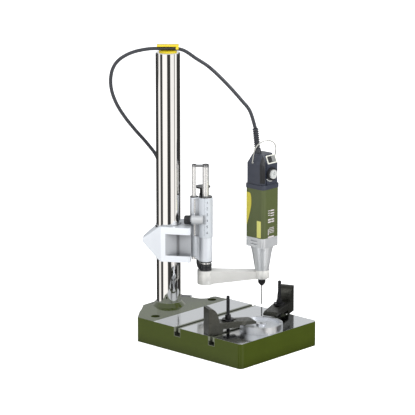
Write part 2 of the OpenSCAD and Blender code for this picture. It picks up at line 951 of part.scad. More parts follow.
module rod_yoke() {
    length = front_rod_x - rear_rod_x;
    color(light_metal) at_rear_rod() difference() {
        union() {
            translate([0, -yoke_half, yoke_z]) cube([length, 2 * yoke_half, yoke_t]);
            bar(rear_rod_d / 2, yoke_z, yoke_z + yoke_t);
            translate([length, 0, 0]) bar(front_rod_d / 2, yoke_z, yoke_z + yoke_t);
        }
        for (x = [0, length]) translate([x, 0, 0])
            bar(yoke_screw_r + run_gap, yoke_z - over, yoke_z + yoke_t + over);
    }
}

module yoke_screw(head_r) {
    top = yoke_z + yoke_t;
    bar(yoke_screw_r, yoke_z - yoke_screw_len + over, top + over / 2);
    bar(head_r, top, top + yoke_head_h);
}

module yoke_screws() {
    color(black) {
        at_rear_rod() yoke_screw(rear_rod_d / 2 - yoke_head_inset);
        at_front_rod() yoke_screw(front_rod_d / 2 - yoke_head_inset);
    }
}

module spring_collar() {
    color(steel) at_front_rod()
        ring(collar_r, front_rod_d / 2 + fit_gap, collar_z, collar_z + collar_h);
}

module buffer_ring() {
    color(steel) at_front_rod()
        ring(buffer_ring_r, front_rod_d / 2 + fit_gap, buffer_ring_z[0], buffer_ring_z[1]);
}

module buffer_collar() {
    z0 = buffer_collar_z[0];
    z1 = buffer_collar_z[1];
    groove = buffer_collar_groove;
    mid = (z0 + z1) / 2;
    color(black) {
        at_front_rod() rotate_extrude() polygon([
            [front_rod_d / 2 + fit_gap, z0], [buffer_collar_r, z0],
            [buffer_collar_r, mid - groove], [buffer_collar_r - groove, mid],
            [buffer_collar_r, mid + groove], [buffer_collar_r, z1],
            [front_rod_d / 2 + fit_gap, z1]
        ]);
        at_head() rotate([90, 0, 0]) translate([0, 0, -buffer_lug_w / 2])
            linear_extrude(buffer_lug_w) polygon(buffer_lug);
    }
}

module arm_beam() {
    intersection() {
        linear_extrude(arm_collar_z1) polygon([
            [front_rod_x, -arm_root_r], [tool_x, -arm_tip_r], [tool_x, arm_tip_r],
            [front_rod_x, arm_root_r]
        ]);
        rotate([90, 0, 0]) translate([0, 0, -arm_boss_r]) linear_extrude(2 * arm_boss_r) polygon([
            [front_rod_x - over, arm_z0], [front_rod_x + over, arm_z0],
            [tool_x + over, arm_tip_z0], [tool_x + over, arm_z1], [front_rod_x - over, arm_z1]
        ]);
    }
}

module tool_arm() {
    color(light_metal) difference() {
        union() {
            at_head() arm_beam();
            at_front_rod() bar(arm_boss_r, arm_z0, arm_z1);
            at_tool() bar(arm_collar_r, arm_tip_z0, arm_collar_z1);
        }
        at_front_rod() bar(front_rod_d / 2 + fit_gap, rod_foot, arm_z1 + over);
        at_tool() bar(neck_r + fit_gap, neck_z0 - over, arm_collar_z1 + over);
        at_front_rod() translate([0, 0, arm_boss_screw_z]) rotate([-90, 0, 0])
            bar(arm_screw_r + fit_gap, 0, arm_boss_r + over);
        at_head() translate([tool_x, 0, arm_collar_screw_z]) rotate([-90, 0, 0])
            bar(arm_screw_r + fit_gap, 0, arm_boss_r + over);
    }
}

module arm_set_screws() {
    color(dark_steel) at_head() {
        translate([front_rod_x, 0, arm_boss_screw_z]) rotate([-90, 0, 0])
            bar(arm_screw_r, arm_boss_screw[0], arm_boss_screw[1]);
        translate([tool_x, 0, arm_collar_screw_z]) rotate([-90, 0, 0])
            bar(arm_screw_r, arm_collar_screw[0], arm_collar_screw[1]);
    }
}

// Rotary tool

module tool_nose() {
    color(light_metal) at_tool() difference() {
        rotate_extrude() polygon([
            [0, neck_z0], [neck_r, neck_z0], [neck_r, cone_z0], [cone_r0, cone_z0],
            [cone_r1, cone_z1], [shoulder_r, band_z0], [0, band_z0]
        ]);
        bar(spindle_bore_r, neck_z0 - over, band_z0 + over);
        bar(bearing_r, front_bearing_z[0], front_bearing_z[1]);
    }
}

module tool_band() {
    color(light_metal) at_tool() translate([0, 0, band_z0]) difference() {
        linear_extrude(body_z0 - band_z0) rounded_square(tool_w, tool_r);
        bar(band_bore_r, -over, body_z0 - band_z0 + over);
        for (z = vent_z) translate([-vent[0] / 2, -tool_w / 2 - over, z - band_z0])
            cube([vent[0], vent[1] + over, vent[2]]);
    }
}

module shell(w, inner_w, r, z0, z1) {
    translate([0, 0, z0]) difference() {
        linear_extrude(z1 - z0) rounded_square(w, r);
        translate([0, 0, -over]) linear_extrude(z1 - z0 + 2 * over)
            rounded_square(inner_w, r - shell_t);
    }
}

module tool_body() {
    color(tool_green) at_tool() shell(tool_w, tool_w - 2 * shell_t, tool_r, body_z0, trim_z0);
}

module tool_trim() {
    color(grey_plastic) at_tool()
        shell(tool_w + trim_extra, trim_bore_w, tool_r, trim_z0, cap_z0);
}

module slab(w, z) {
    translate([0, 0, z]) linear_extrude(over) rounded_square(w, cap_r);
}

module cap_solid(inset) {
    w = cap_w - 2 * inset;
    $fn = hull_fn;
    translate([0, 0, cap_z0 - inset]) linear_extrude(cap_slope_z - cap_z0 + inset)
        rounded_square(w, cap_r);
    hull() {
        slab(w, cap_slope_z - over);
        slab(cap_top_w - 2 * inset, cap_top - inset - over);
    }
}

module tool_rear_cap() {
    color(grey_plastic) difference() {
        at_tool() cap_solid(0);
        at_tool() cap_solid(shell_t);
        at_tool() translate([cap_w / 2 - shell_t - over, 0, dial_z]) rotate([0, 90, 0])
            cylinder(r = dial_shaft_r + free_gap, h = shell_t + 2 * over);
        at_tool() translate([cap_w / 2 - rib_slot[1], rib_slot_y, cap_z0 - over])
            cube([rib_slot[1] + over, rib_slot[0], rib_slot[2]]);
        at_slope() cube([switch_hole[1], switch_hole[0], 2 * (shell_t + 2 * over)], center = true);
        at_relief() cylinder(r = relief_neck_r, h = 2 * (shell_t + 2 * over), center = true);
        bail_pins(free_gap);
    }
}

module switch_frame() {
    color(white) at_slope() translate([0, 0, run_gap]) linear_extrude(switch_t) difference() {
        square([switch_l, switch_w], center = true);
        square([switch_hole[1], switch_hole[0]], center = true);
    }
}

module switch_rocker() {
    half = rocker_w / 2;
    color(black) at_slope() rotate([0, 90, 0]) {
        linear_extrude(rocker_l, center = true) polygon([
            [rocker_edge, -half], [rocker_edge, half], [-rocker_edge, half],
            [-rocker_edge + over, 0], [-rocker_edge, -half]
        ]);
        cylinder(r = rocker_pin_r, h = rocker_pin_len, center = true);
    }
}

module speed_dial() {
    face = cap_w / 2;
    color(black) at_tool() translate([face, 0, dial_z]) rotate([0, 90, 0]) {
        bar(dial_ring_r, free_gap, free_gap + dial_ring_t);
        bar(dial_cap_r, free_gap, free_gap + dial_ring_t + dial_cap_t);
        bar(dial_shaft_r, -dial_shaft_len, dial_ring_t);
    }
}

// Wire bail: x runs along the hinge line, z up in the plane of the wire
module at_bail() {
    at_tool() translate([bail_mid[0], bail_mid[1], bail_z])
        rotate([0, 0, atan2(bail_half[1], bail_half[0])]) rotate([bail_lean, 0, 0]) children();
}

module bail_pins(gap) {
    r = norm(bail_half);
    at_bail() for (s = [0, 180]) rotate([0, 0, s]) translate([r, 0, 0]) rotate([0, -90, 0])
        cylinder(r = bail_wire_r + gap, h = bail_pin + gap);
}

module hanging_bail() {
    r = norm(bail_half);
    color(steel) {
        at_bail() {
            for (s = [-1, 1]) translate([s * r, 0, 0]) {
                cylinder(r = bail_wire_r, h = bail_leg);
                sphere(bail_wire_r);
            }
            translate([0, 0, bail_leg]) rotate([90, 0, 0])
                rotate_extrude(angle = 180) translate([r, 0]) circle(bail_wire_r);
        }
        bail_pins(0);
    }
}

module at_relief() {
    at_tool() translate([relief_pos[0], relief_pos[1], cap_top]) rotate([0, 0, relief_turn])
        rotate([0, -relief_tilt, 0]) children();
}

module strain_relief() {
    pitch = (relief_len - relief_foot) / (relief_ribs + 0.5);
    ribs = [for (i = [0:relief_ribs - 1]) let (z = relief_foot + pitch * i)
        each [[relief_neck_r, z], [relief_neck_r, z + pitch / 2],
            [relief_rib_r, z + pitch / 2], [relief_rib_r, z + pitch]]];
    color(black) at_relief() {
        rotate_extrude() polygon(concat(
            [[0, 0], [relief_base_r, 0]], ribs,
            [[relief_neck_r, relief_len - pitch / 2], [relief_neck_r, relief_len],
                [0, relief_len]]));
        bar(relief_neck_r - free_gap, -relief_sink, over);
    }
}

module motor_can() {
    color(steel) at_tool() difference() {
        bar(can_r, can_z0, can_z1);
        bar(can_bore_r, can_front, can_rear);
        bar(spindle_bore_r, can_z0 - over, can_z1 + over);
        bar(bearing_r, rear_bearing_z[0], rear_bearing_z[1]);
    }
}

module spindle_bearings() {
    color(steel) at_tool() for (z = [front_bearing_z, rear_bearing_z])
        ring(bearing_r - fit_gap, spindle_r + run_gap, z[0], z[1]);
}

module spindle_shaft() {
    color(steel) at_tool() bar(spindle_r, spindle_z0, spindle_z1);
}

module armature() {
    color(bronze) at_tool()
        ring(armature_r, spindle_r + fit_gap, armature_z[0], armature_z[1]);
}

module collet_nut() {
    color(steel) at_tool() difference() {
        rotate_extrude() polygon(concat([[0, nut_tip_z]], nut_profile, [[0, nut_top]]));
        bar(spindle_r + fit_gap, nut_socket_z, nut_top + over);
        bar(bit_d / 2 + fit_gap, nut_tip_z - over, nut_top);
    }
}

module drill_bit() {
    r = bit_d / 2;
    color(steel) at_tool() rotate_extrude()
        polygon([[0, bit_tip], [r, bit_tip + bit_point], [r, bit_top], [0, bit_top]]);
}

// Cord

function on_coil(a, r, z) = [coil_pos[0] + r * cos(a), coil_pos[1] + r * sin(a), z];

function coil_point(t) = let (
    flat = layer_turns,
    climb = min(max((t - flat) / climb_turns, 0), 1),
    inner = coil_r - coil_pitch * flat,
    r = t < flat ? coil_r - coil_pitch * t
        : t > flat + climb_turns ? inner + coil_pitch * (t - flat - climb_turns)
        : inner - coil_dip * sin(180 * climb)
) on_coil(coil_entry - 360 * t, r, coil_rest_z + coil_layer * (1 - cos(180 * climb)) / 2);

coil_heading = [sin(coil_entry), -cos(coil_entry), 0];
coil_turns = 2 * layer_turns + climb_turns;
coil_start = on_coil(coil_entry, coil_r, coil_rest_z) - cord_d * coil_heading;
coil_exit = on_coil(coil_entry, coil_r, coil_rest_z + coil_layer);
coil_end = coil_exit + cord_d * coil_heading;
plug_face = coil_exit + plug_run * coil_heading + [0, 0, plug_cord_z - coil_exit[2]];

function coil_route() = concat(
    [coil_start],
    [for (i = [0:coil_turns * coil_steps]) coil_point(i / coil_steps)],
    [coil_end]);

// Least gap of a wound tube to itself, from points at least half a turn apart
function self_gap(p, r, turn_steps) = min([for (i = [0:len(p) - 1])
    for (j = [i + turn_steps / 2:len(p) - 1]) norm(p[i] - p[j])]) - 2 * r;

echo(str("Least gap of the coil to itself: ", self_gap(coil_route(), cord_d / 2, coil_steps)));
echo(str("Least gap of the spring to itself: ",
    self_gap(spring_route(), spring_wire_r, spring_steps)));

relief_reach = relief_len * sin(relief_tilt) * [cos(relief_turn), sin(relief_turn)];
relief_tip = [
    tool_pos[0] + relief_pos[0] - relief_reach[0], tool_pos[1] + relief_pos[1] - relief_reach[1],
    cap_top + relief_len * cos(relief_tilt)
];

module cord_lead() {
    color(black) tube(spline([relief_tip, each lead_route, cord_meet + [0, 0, holder_cord_z]], route_steps),
        cord_d / 2, cord_sides, [0, 1, 0]);
}

module cord_tail() {
    color(black) tube(
        spline([[0, 0, holder_cord_z] - cord_meet, each tail_route, tail_landing, coil_start],
            route_steps),
        cord_d / 2, cord_sides, [0, 0, 1]);
}

module cord_coil() {
    color(black) tube(coil_route(), cord_d / 2, coil_sides, [0, 0, 1]);
}

module plug_lead() {
    level = coil_exit + plug_level * coil_heading;
    foot = plug_face - cord_d * coil_heading;
    color(black) tube([coil_end, level, foot, plug_face], cord_d / 2, cord_sides, [0, 0, 1]);
}

module at_plug() {
    translate(plug_face) rotate([0, 0, atan2(coil_heading[1], coil_heading[0])]) children();
}

module plug_body() {
    color(black) at_plug() translate([0, 0, -plug_h / 2]) linear_extrude(plug_h) polygon(rounded([
        [0, -plug_neck_w / 2], [plug_neck_len, -plug_neck_w / 2], [plug_len / 2, -plug_end_w / 2],
        [plug_len, -plug_end_w / 2], [plug_len, plug_end_w / 2], [plug_len / 2, plug_end_w / 2],
        [plug_neck_len, plug_neck_w / 2], [0, plug_neck_w / 2]
    ], pin_r));
}

module plug_pins() {
    color(steel) at_plug() for (s = [-1, 1]) translate([plug_len, s * pin_half_pitch, 0])
        rotate([0, 90, 0]) cylinder(r = pin_r, h = pin_len);
}

module coil_tie() {
    inner_r = coil_r - coil_pitch * layer_turns - cord_d / 2 - coil_dip - tie_gap;
    outer_r = coil_r + cord_d / 2 + tie_gap;
    height = coil_layer + cord_d + 2 * tie_gap;
    span = outer_r - inner_r;
    color(black) translate([coil_pos[0], coil_pos[1], coil_rest_z - cord_d / 2 - tie_gap])
        rotate([0, 0, tie_angle]) translate([inner_r, 0, 0]) difference() {
            translate([-tie_t, -tie_w / 2, -tie_t])
                cube([span + 2 * tie_t, tie_w, height + 2 * tie_t]);
            translate([0, -tie_w, 0]) cube([span, 2 * tie_w, height]);
        }
}

base_casting();
column();
column_set_screw();
column_flange();
cable_holder();
workpiece();
cord_tail();
cord_coil();
coil_tie();
plug_lead();
plug_body();
plug_pins();
left_bolt();
left_clamp();
left_washer();
left_nut();
right_bolt();
right_clamp();
right_washer();
right_nut();
clamp_bush();
head_casting();
quill_housing();
housing_screws();
head_clamp_screws();
scale_plate();
rod_seals();
guide_bushes();
return_spring();
lock_boss();
lock_knob();
lock_washer();
stop_ring();
stop_knob();
front_rod();
rear_rod();
rod_yoke();
yoke_screws();
spring_collar();
buffer_ring();
buffer_collar();
tool_arm();
arm_set_screws();
tool_nose();
tool_band();
tool_body();
tool_trim();
tool_rear_cap();
switch_frame();
strain_relief();
cord_lead();
motor_can();
spindle_bearings();
spindle_shaft();
armature();
collet_nut();
drill_bit();
switch_rocker();
speed_dial();
hanging_bail();
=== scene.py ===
"""Looks of the column drill stand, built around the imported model."""

import math

import bpy
import numpy as np
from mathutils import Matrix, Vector


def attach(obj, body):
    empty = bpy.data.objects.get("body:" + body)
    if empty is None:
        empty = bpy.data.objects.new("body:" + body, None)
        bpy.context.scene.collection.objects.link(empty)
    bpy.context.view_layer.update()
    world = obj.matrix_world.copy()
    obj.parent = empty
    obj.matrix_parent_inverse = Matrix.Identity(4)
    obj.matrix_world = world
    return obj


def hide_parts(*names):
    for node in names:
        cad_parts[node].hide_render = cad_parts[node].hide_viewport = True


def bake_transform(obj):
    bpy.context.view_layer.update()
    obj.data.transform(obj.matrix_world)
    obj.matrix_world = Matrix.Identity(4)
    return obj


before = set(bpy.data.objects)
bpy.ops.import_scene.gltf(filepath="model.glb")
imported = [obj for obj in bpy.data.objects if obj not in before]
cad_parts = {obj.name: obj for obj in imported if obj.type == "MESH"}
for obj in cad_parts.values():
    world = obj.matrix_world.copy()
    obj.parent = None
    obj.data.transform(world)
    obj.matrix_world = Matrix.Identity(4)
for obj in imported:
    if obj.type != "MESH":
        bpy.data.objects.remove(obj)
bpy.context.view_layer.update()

MM = 0.001
AZIMUTH = math.radians(42.98)
ELEVATION = math.radians(13.74)
PHOTO = 415
FOCAL_PX = 2514.0
SENSOR = 36.0
CAMERA_AT = (3.1252, -3.2480, 1.3327)

# Camera

forward = Vector((-math.sin(AZIMUTH) * math.cos(ELEVATION),
                  math.cos(AZIMUTH) * math.cos(ELEVATION), -math.sin(ELEVATION)))
camera_data = bpy.data.cameras.new("camera")
camera_data.sensor_fit = "HORIZONTAL"
camera_data.sensor_width = SENSOR
camera_data.lens = FOCAL_PX / PHOTO * SENSOR
camera_data.clip_start = 0.1
camera_data.clip_end = 60
camera = bpy.data.objects.new("camera", camera_data)
bpy.context.scene.collection.objects.link(camera)
camera.location = CAMERA_AT
camera.rotation_mode = "QUATERNION"
camera.rotation_quaternion = forward.to_track_quat("-Z", "Y")
bpy.context.scene.camera = camera


# Meshes

def mesh_object(name, points, faces, smooth=True):
    """Object in the scene from points and faces."""
    mesh = bpy.data.meshes.new(name)
    mesh.from_pydata([tuple(p) for p in points], [], [tuple(f) for f in faces])
    mesh.validate()
    mesh.update()
    if smooth:
        mesh.polygons.foreach_set("use_smooth", [True] * len(mesh.polygons))
    obj = bpy.data.objects.new(name, mesh)
    bpy.context.scene.collection.objects.link(obj)
    return obj


def unit(v):
    return v / np.linalg.norm(v)


def spline(points, steps):
    """Smooth curve through the points, as many steps for each span."""
    p = np.array(points, float)
    last = len(p) - 1
    out = []
    for i in range(last):
        a, b, c, d = p[max(i - 1, 0)], p[i], p[i + 1], p[min(i + 2, last)]
        for s in range(steps):
            t = s / steps
            out.append(0.5 * (2 * b + (c - a) * t + (2 * a - 5 * b + 4 * c - d) * t * t
                              + (3 * b - a - 3 * c + d) * t ** 3))
    out.append(p[last])
    return np.array(out)


def sweep(name, path, radius, sides=16, first=(0, 0, 1), radii=None, smooth=True):
    """Round tube along a path, with closed ends."""
    path = np.array(path, float)
    n = len(path)
    normal = np.array(first, float)
    points, faces = [], []
    for i in range(n):
        t = unit(path[min(i + 1, n - 1)] - path[max(i - 1, 0)])
        normal = unit(normal - (normal @ t) * t)
        other = np.cross(t, normal)
        r = radius if radii is None else radii[i]
        for k in range(sides):
            a = 2 * math.pi * k / sides
            points.append(path[i] + r * (normal * math.cos(a) + other * math.sin(a)))
    for i in range(n - 1):
        for k in range(sides):
            k2 = (k + 1) % sides
            faces.append((i * sides + k, i * sides + k2, (i + 1) * sides + k2,
                          (i + 1) * sides + k))
    faces.append(tuple(range(sides - 1, -1, -1)))
    faces.append(tuple((n - 1) * sides + k for k in range(sides)))
    return mesh_object(name, points, faces, smooth)


def bevelled(obj, width):
    """Rounds the sharp edges of an object by modifiers."""
    weld = obj.modifiers.new("weld", "WELD")
    weld.merge_threshold = 1e-6
    bevel = obj.modifiers.new("bevel", "BEVEL")
    bevel.width = width
    bevel.segments = 2
    bevel.limit_method = "ANGLE"
    bevel.angle_limit = math.radians(32)
    bevel.harden_normals = True
    bevel.use_clamp_overlap = True


# Cords

CORD_D = 0.0065
STEPS = 6
RELIEF_LEN = 46 * MM
RELIEF_TILT = math.radians(5.9)
RELIEF_TURN = math.radians(45)
HEAD_SWING = math.radians(40)
TOOL_X = 173 * MM
CAP_TOP = 336 * MM
TOOL = np.array([TOOL_X * math.cos(HEAD_SWING), TOOL_X * math.sin(HEAD_SWING), 0.0])
RELIEF_FOOT = TOOL + np.array([-6.1 * MM, -5.8 * MM, CAP_TOP])
RELIEF_AXIS = np.array([-math.sin(RELIEF_TILT) * math.cos(RELIEF_TURN),
                        -math.sin(RELIEF_TILT) * math.sin(RELIEF_TURN), math.cos(RELIEF_TILT)])
RELIEF_TIP = RELIEF_FOOT + RELIEF_LEN * RELIEF_AXIS
HOLDER = np.array([0.0, 0.0, 528.05]) * MM

# The lead between the strain relief and the holder, as the photograph shows it
LEAD = np.array([
    [115.5, 96, 413], [104.5, 87, 432], [82, 68, 465], [60, 47, 494.5], [41, 31, 511],
    [23, 21.2, 523.6], [11, 10.3, 528.2],
]) * MM
# The cord from the holder down to the coil on the bench
TAIL = np.array([
    [-11, -10.3, 528.2], [-26, -26, 527.6], [-44, -47, 522], [-60, -63, 510],
    [-70, -70.5, 494], [-76.5, -71, 473], [-80.5, -64.5, 448], [-81, -51, 421],
    [-78, -32.5, 394], [-71.5, -11.5, 367], [-62.5, 11, 339], [-54.5, 28, 311],
    [-53, 31, 278], [-51.5, 35, 238], [-50.5, 44, 205], [-50, 49, 165], [-49, 50, 120],
    [-47.5, 49.8, 78], [-46, 49.5, 42], [-47, 52, 20.5], [-52.4, 61, 8.6], [-59, 73, 4.4],
]) * MM
COIL_AT = np.array([-30, 108]) * MM
COIL_R = 42.6 * MM
COIL_PITCH = 7.1 * MM
COIL_LAYER = 7 * MM
COIL_ENTRY = math.radians(209.5)
COIL_Z = 4.4 * MM
COIL_DIP = 1.2 * MM
LAYER_TURNS = 1.75
CLIMB_TURNS = 0.5
PLUG_RUN = 36 * MM
PLUG_BEND = 14 * MM
PLUG_Z = 7.3 * MM


def on_coil(a, r, z):
    """Point of the coil: the angle about its middle, the radius and the height."""
    return np.array([COIL_AT[0] + r * math.cos(a), COIL_AT[1] + r * math.sin(a), z])


def coil_point(t):
    """Middle of the cord after t turns: inwards on the lower layer, outwards on the upper."""
    climb = min(max((t - LAYER_TURNS) / CLIMB_TURNS, 0), 1)
    inner = COIL_R - COIL_PITCH * LAYER_TURNS
    if t < LAYER_TURNS:
        r = COIL_R - COIL_PITCH * t
    elif t > LAYER_TURNS + CLIMB_TURNS:
        r = inner + COIL_PITCH * (t - LAYER_TURNS - CLIMB_TURNS)
    else:
        r = inner - COIL_DIP * math.sin(math.pi * climb)
    z = COIL_Z + COIL_LAYER * (1 - math.cos(math.pi * climb)) / 2
    return on_coil(COIL_ENTRY - 2 * math.pi * t, r, z)


heading = np.array([math.sin(COIL_ENTRY), -math.cos(COIL_ENTRY), 0.0])
coil_turns = 2 * LAYER_TURNS + CLIMB_TURNS
coil_start = on_coil(COIL_ENTRY, COIL_R, COIL_Z) - CORD_D * heading
coil_exit = on_coil(COIL_ENTRY, COIL_R, COIL_Z + COIL_LAYER)
plug_face = coil_exit + PLUG_RUN * heading + np.array([0, 0, PLUG_Z - coil_exit[2]])

lead_path = spline(np.vstack([RELIEF_TIP, LEAD, HOLDER]), STEPS)
tail_path = spline(np.vstack([HOLDER, TAIL, coil_start]), STEPS)
COIL_STEPS = 36
coil_path = [coil_point(i / COIL_STEPS) for i in range(int(coil_turns * COIL_STEPS) + 1)]
end_path = spline([coil_path[-1] + CORD_D * heading, coil_exit + PLUG_BEND * heading,
                   plug_face - CORD_D * heading, plug_face], STEPS)
main_path = np.vstack([tail_path, coil_path, end_path])

# Steps of the lead's path at which it passes from one pair of bodies to the next
SPLITS = (0, 3 * STEPS // 2, 4 * STEPS, len(lead_path) - 1)
LEAD_BODIES = (("quill", "head"), ("head", "carrier"), ("carrier", "base"))
lead_parts = []
for index, (low, high) in enumerate(zip(SPLITS, SPLITS[1:])):
    part_path = lead_path[low:high + 1]
    part = sweep(f"cord_lead_{index + 1}", part_path, CORD_D / 2, first=(0, 1, 0))
    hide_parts("cord_lead")
    blend_end = part_path[-1].copy()
    if "base" in LEAD_BODIES[index]:
        # Level end for the span that reaches the base; it is not used further
        blend_end[2] = part_path[0][2]
    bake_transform(part)
    lead_parts.append(part)

mains_cord = sweep("mains_cord", main_path, CORD_D / 2, first=(0, 0, 1))
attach(mains_cord, "base")
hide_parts("cord_tail", "cord_coil", "plug_lead")


# Materials

class Nodes:
    """Short calls for one material's node tree."""

    def __init__(self, name):
        self.material = bpy.data.materials.new(name)
        self.material.use_nodes = True
        self.tree = self.material.node_tree
        self.tree.nodes.clear()
        self.shader = self.add("ShaderNodeBsdfPrincipled")
        out = self.add("ShaderNodeOutputMaterial")
        self.link(self.shader.outputs[0], out.inputs[0])
        self.coords = self.add("ShaderNodeTexCoord").outputs["Object"]

    def add(self, kind, **settings):
        node = self.tree.nodes.new(kind)
        for key, value in settings.items():
            setattr(node, key, value)
        return node

    def link(self, a, b):
        self.tree.links.new(a, b)

    def mapped(self, scale=(1, 1, 1), turn=(0, 0, 0), place=(0, 0, 0)):
        m = self.add("ShaderNodeMapping")
        m.inputs["Scale"].default_value = scale
        m.inputs["Rotation"].default_value = turn
        m.inputs["Location"].default_value = place
        self.link(self.coords, m.inputs[0])
        return m.outputs[0]

    def noise(self, scale, detail=3.0, rough=0.5, vector=None):
        n = self.add("ShaderNodeTexNoise")
        n.inputs["Scale"].default_value = scale
        n.inputs["Detail"].default_value = detail
        n.inputs["Roughness"].default_value = rough
        self.link(vector or self.coords, n.inputs["Vector"])
        return n.outputs[0]

    def ramp(self, value, low, high, out_low=0.0, out_high=1.0, smooth=True):
        r = self.add("ShaderNodeMapRange")
        r.interpolation_type = "SMOOTHSTEP" if smooth else "LINEAR"
        for key, number in (("From Min", low), ("From Max", high), ("To Min", out_low),
                            ("To Max", out_high)):
            r.inputs[key].default_value = number
        self.link(value, r.inputs[0])
        return r.outputs[0]

    def math(self, kind, a, b=None):
        m = self.add("ShaderNodeMath", operation=kind)
        for socket, value in zip(m.inputs, (a, b)):
            if value is None:
                continue
            if isinstance(value, (int, float)):
                socket.default_value = value
            else:
                self.link(value, socket)
        return m.outputs[0]

    def mix(self, share, a, b):
        m = self.add("ShaderNodeMix", data_type="RGBA")
        sockets = (m.inputs[0], m.inputs[6], m.inputs[7])
        for socket, value in zip(sockets, (share, a, b)):
            if isinstance(value, (int, float)):
                socket.default_value = value
            elif isinstance(value, (tuple, list)):
                socket.default_value = (*value, 1)[:4]
            else:
                self.link(value, socket)
        return m.outputs[2]

    def axes(self, vector=None):
        s = self.add("ShaderNodeSeparateXYZ")
        self.link(vector or self.coords, s.inputs[0])
        return s.outputs

    def bump(self, height, distance, strength=1.0):
        b = self.add("ShaderNodeBump")
        b.inputs["Strength"].default_value = strength
        b.inputs["Distance"].default_value = distance
        self.link(height, b.inputs["Height"])
        return b.outputs[0]

    def shaded(self, color, distance, depth):
        """Colour with painted shade, darker towards inner corners."""
        near = self.add("ShaderNodeAmbientOcclusion", samples=8)
        near.inputs["Distance"].default_value = distance
        k = self.ramp(near.outputs["AO"], 0.3, 1.0, 1 - depth, 1.0, smooth=False)
        return self.mix(k, (0, 0, 0), color)

    def set(self, **values):
        names = {"color": "Base Color", "rough": "Roughness", "metal": "Metallic",
                 "normal": "Normal", "coat": "Coat Weight", "coat_rough": "Coat Roughness",
                 "specular": "Specular IOR Level"}
        for key, value in values.items():
            socket = self.shader.inputs[names[key]]
            if isinstance(value, (int, float)):
                socket.default_value = value
            elif isinstance(value, (tuple, list)):
                socket.default_value = (*value, 1)[:4]
            else:
                self.link(value, socket)
        return self.material


def srgb(r, g, b):
    """Linear colour of a screen colour in 0..255."""
    out = []
    for v in (r, g, b):
        v /= 255
        out.append(v / 12.92 if v < 0.04045 else ((v + 0.055) / 1.055) ** 2.4)
    return tuple(out)


def lighter(color, k):
    """Colour times k, at most 1 in each part."""
    return tuple(min(1.0, c * k) for c in color)


def plain(name, color, rough, metal=0.0, vary=0.12, vary_scale=60, rough_vary=0.06,
          grain=900, grain_depth=0.00002, **extra):
    """Surface with mottled colour, uneven gloss and fine relief."""
    n = Nodes(name)
    cloud = n.noise(vary_scale, 4)
    shade = n.mix(cloud, lighter(color, 1 - vary), lighter(color, 1 + vary))
    gloss = n.ramp(n.noise(vary_scale * 3, 3), 0.3, 0.7, max(rough - rough_vary, 0.01),
                   rough + rough_vary)
    relief = n.bump(n.noise(grain, 3), grain_depth)
    return n.set(color=shade, rough=gloss, metal=metal, normal=relief, **extra)


def brushed(name, color, rough, stretch, depth=0.00001, metal=1.0, vary=0.08, **extra):
    """Metal with fine lines: stretch squeezes the noise along the lines."""
    n = Nodes(name)
    lines = n.noise(1, 4, 0.6, n.mapped(scale=stretch))
    shade = n.mix(lines, lighter(color, 1 - vary), lighter(color, 1 + vary))
    gloss = n.ramp(lines, 0.3, 0.7, rough * 0.7, rough * 1.4)
    relief = n.bump(lines, depth)
    return n.set(color=shade, rough=gloss, metal=metal, normal=relief, **extra)


def turned(name, color, rough, axis_at, pitch, depth=0.00001, vary=0.06):
    """Metal with rings turned about an upright axis."""
    n = Nodes(name)
    x, y, z = n.axes(n.mapped(place=(-axis_at[0], -axis_at[1], 0)))
    radius = n.math("SQRT", n.math("ADD", n.math("MULTIPLY", x, x), n.math("MULTIPLY", y, y)))
    rings = n.math("SINE", n.math("MULTIPLY", n.math("ADD", radius, z), 2 * math.pi / pitch))
    worn = n.noise(140, 3)
    shade = n.mix(worn, lighter(color, 1 - vary), lighter(color, 1 + vary))
    gloss = n.ramp(worn, 0.3, 0.7, rough * 0.8, rough * 1.3)
    relief = n.bump(n.ramp(rings, -1, 1), depth)
    return n.set(color=shade, rough=gloss, metal=1.0, normal=relief)


GREEN = (0.047, 0.063, 0.009)
SILVER = srgb(232, 236, 242)
ALUMINIUM = srgb(208, 210, 212)
CHROME = srgb(236, 236, 236)
STEEL = srgb(176, 178, 182)
OILED = srgb(70, 70, 64)
OILED_PAINTED_SHADE = srgb(48, 48, 43)
BLACK = srgb(34, 34, 36)
RUBBER = srgb(52, 54, 60)
CAP_GREY = srgb(54, 58, 70)
TOOL_GREEN = srgb(79, 88, 48)
YELLOW = srgb(232, 208, 40)
CREAM = srgb(232, 232, 222)
BRONZE = srgb(176, 132, 72)
COPPER = srgb(186, 104, 62)

chrome = plain("chrome", CHROME, 0.035, 1.0, vary=0.02, rough_vary=0.02, grain=300,
               grain_depth=0.000003)
bright = plain("bright_steel", STEEL, 0.16, 1.0, vary=0.05, rough_vary=0.05)
rods = plain("rod_chrome", srgb(246, 246, 246), 0.05, 0.75, vary=0.02, rough_vary=0.01, grain=200,
             grain_depth=0.000001)
cast = plain("cast_aluminium", ALUMINIUM, 0.36, 0.5, vary=0.04, grain=1200, grain_depth=0.00002)
plate_grey = plain("scale_grey", srgb(206, 211, 217), 0.34, 0.1, vary=0.02, grain=1500,
                   grain_depth=0.00001)
print_dark = plain("print_dark", srgb(62, 68, 78), 0.5, 0.0, vary=0.05)
print_light = plain("print_light", srgb(206, 198, 200), 0.45, 0.0, vary=0.05)
print_yellow = plain("print_yellow", srgb(206, 204, 112), 0.4, 0.0, vary=0.05)
soft_yellow = plain("soft_yellow", srgb(196, 184, 62), 0.45, 0.0, vary=0.06, grain=1800,
                    grain_depth=0.00004)
dial_grey = plain("dial_grey", srgb(206, 208, 206), 0.3, 0.2, vary=0.04)
green_enamel = plain("green_enamel", GREEN, 0.1, 0.0, vary=0.08, rough_vary=0.03, grain=350,
                     grain_depth=0.00001, coat=0.5, coat_rough=0.04)
drill_steel = plain("drill_steel", srgb(62, 62, 64), 0.4, 0.5, vary=0.1)
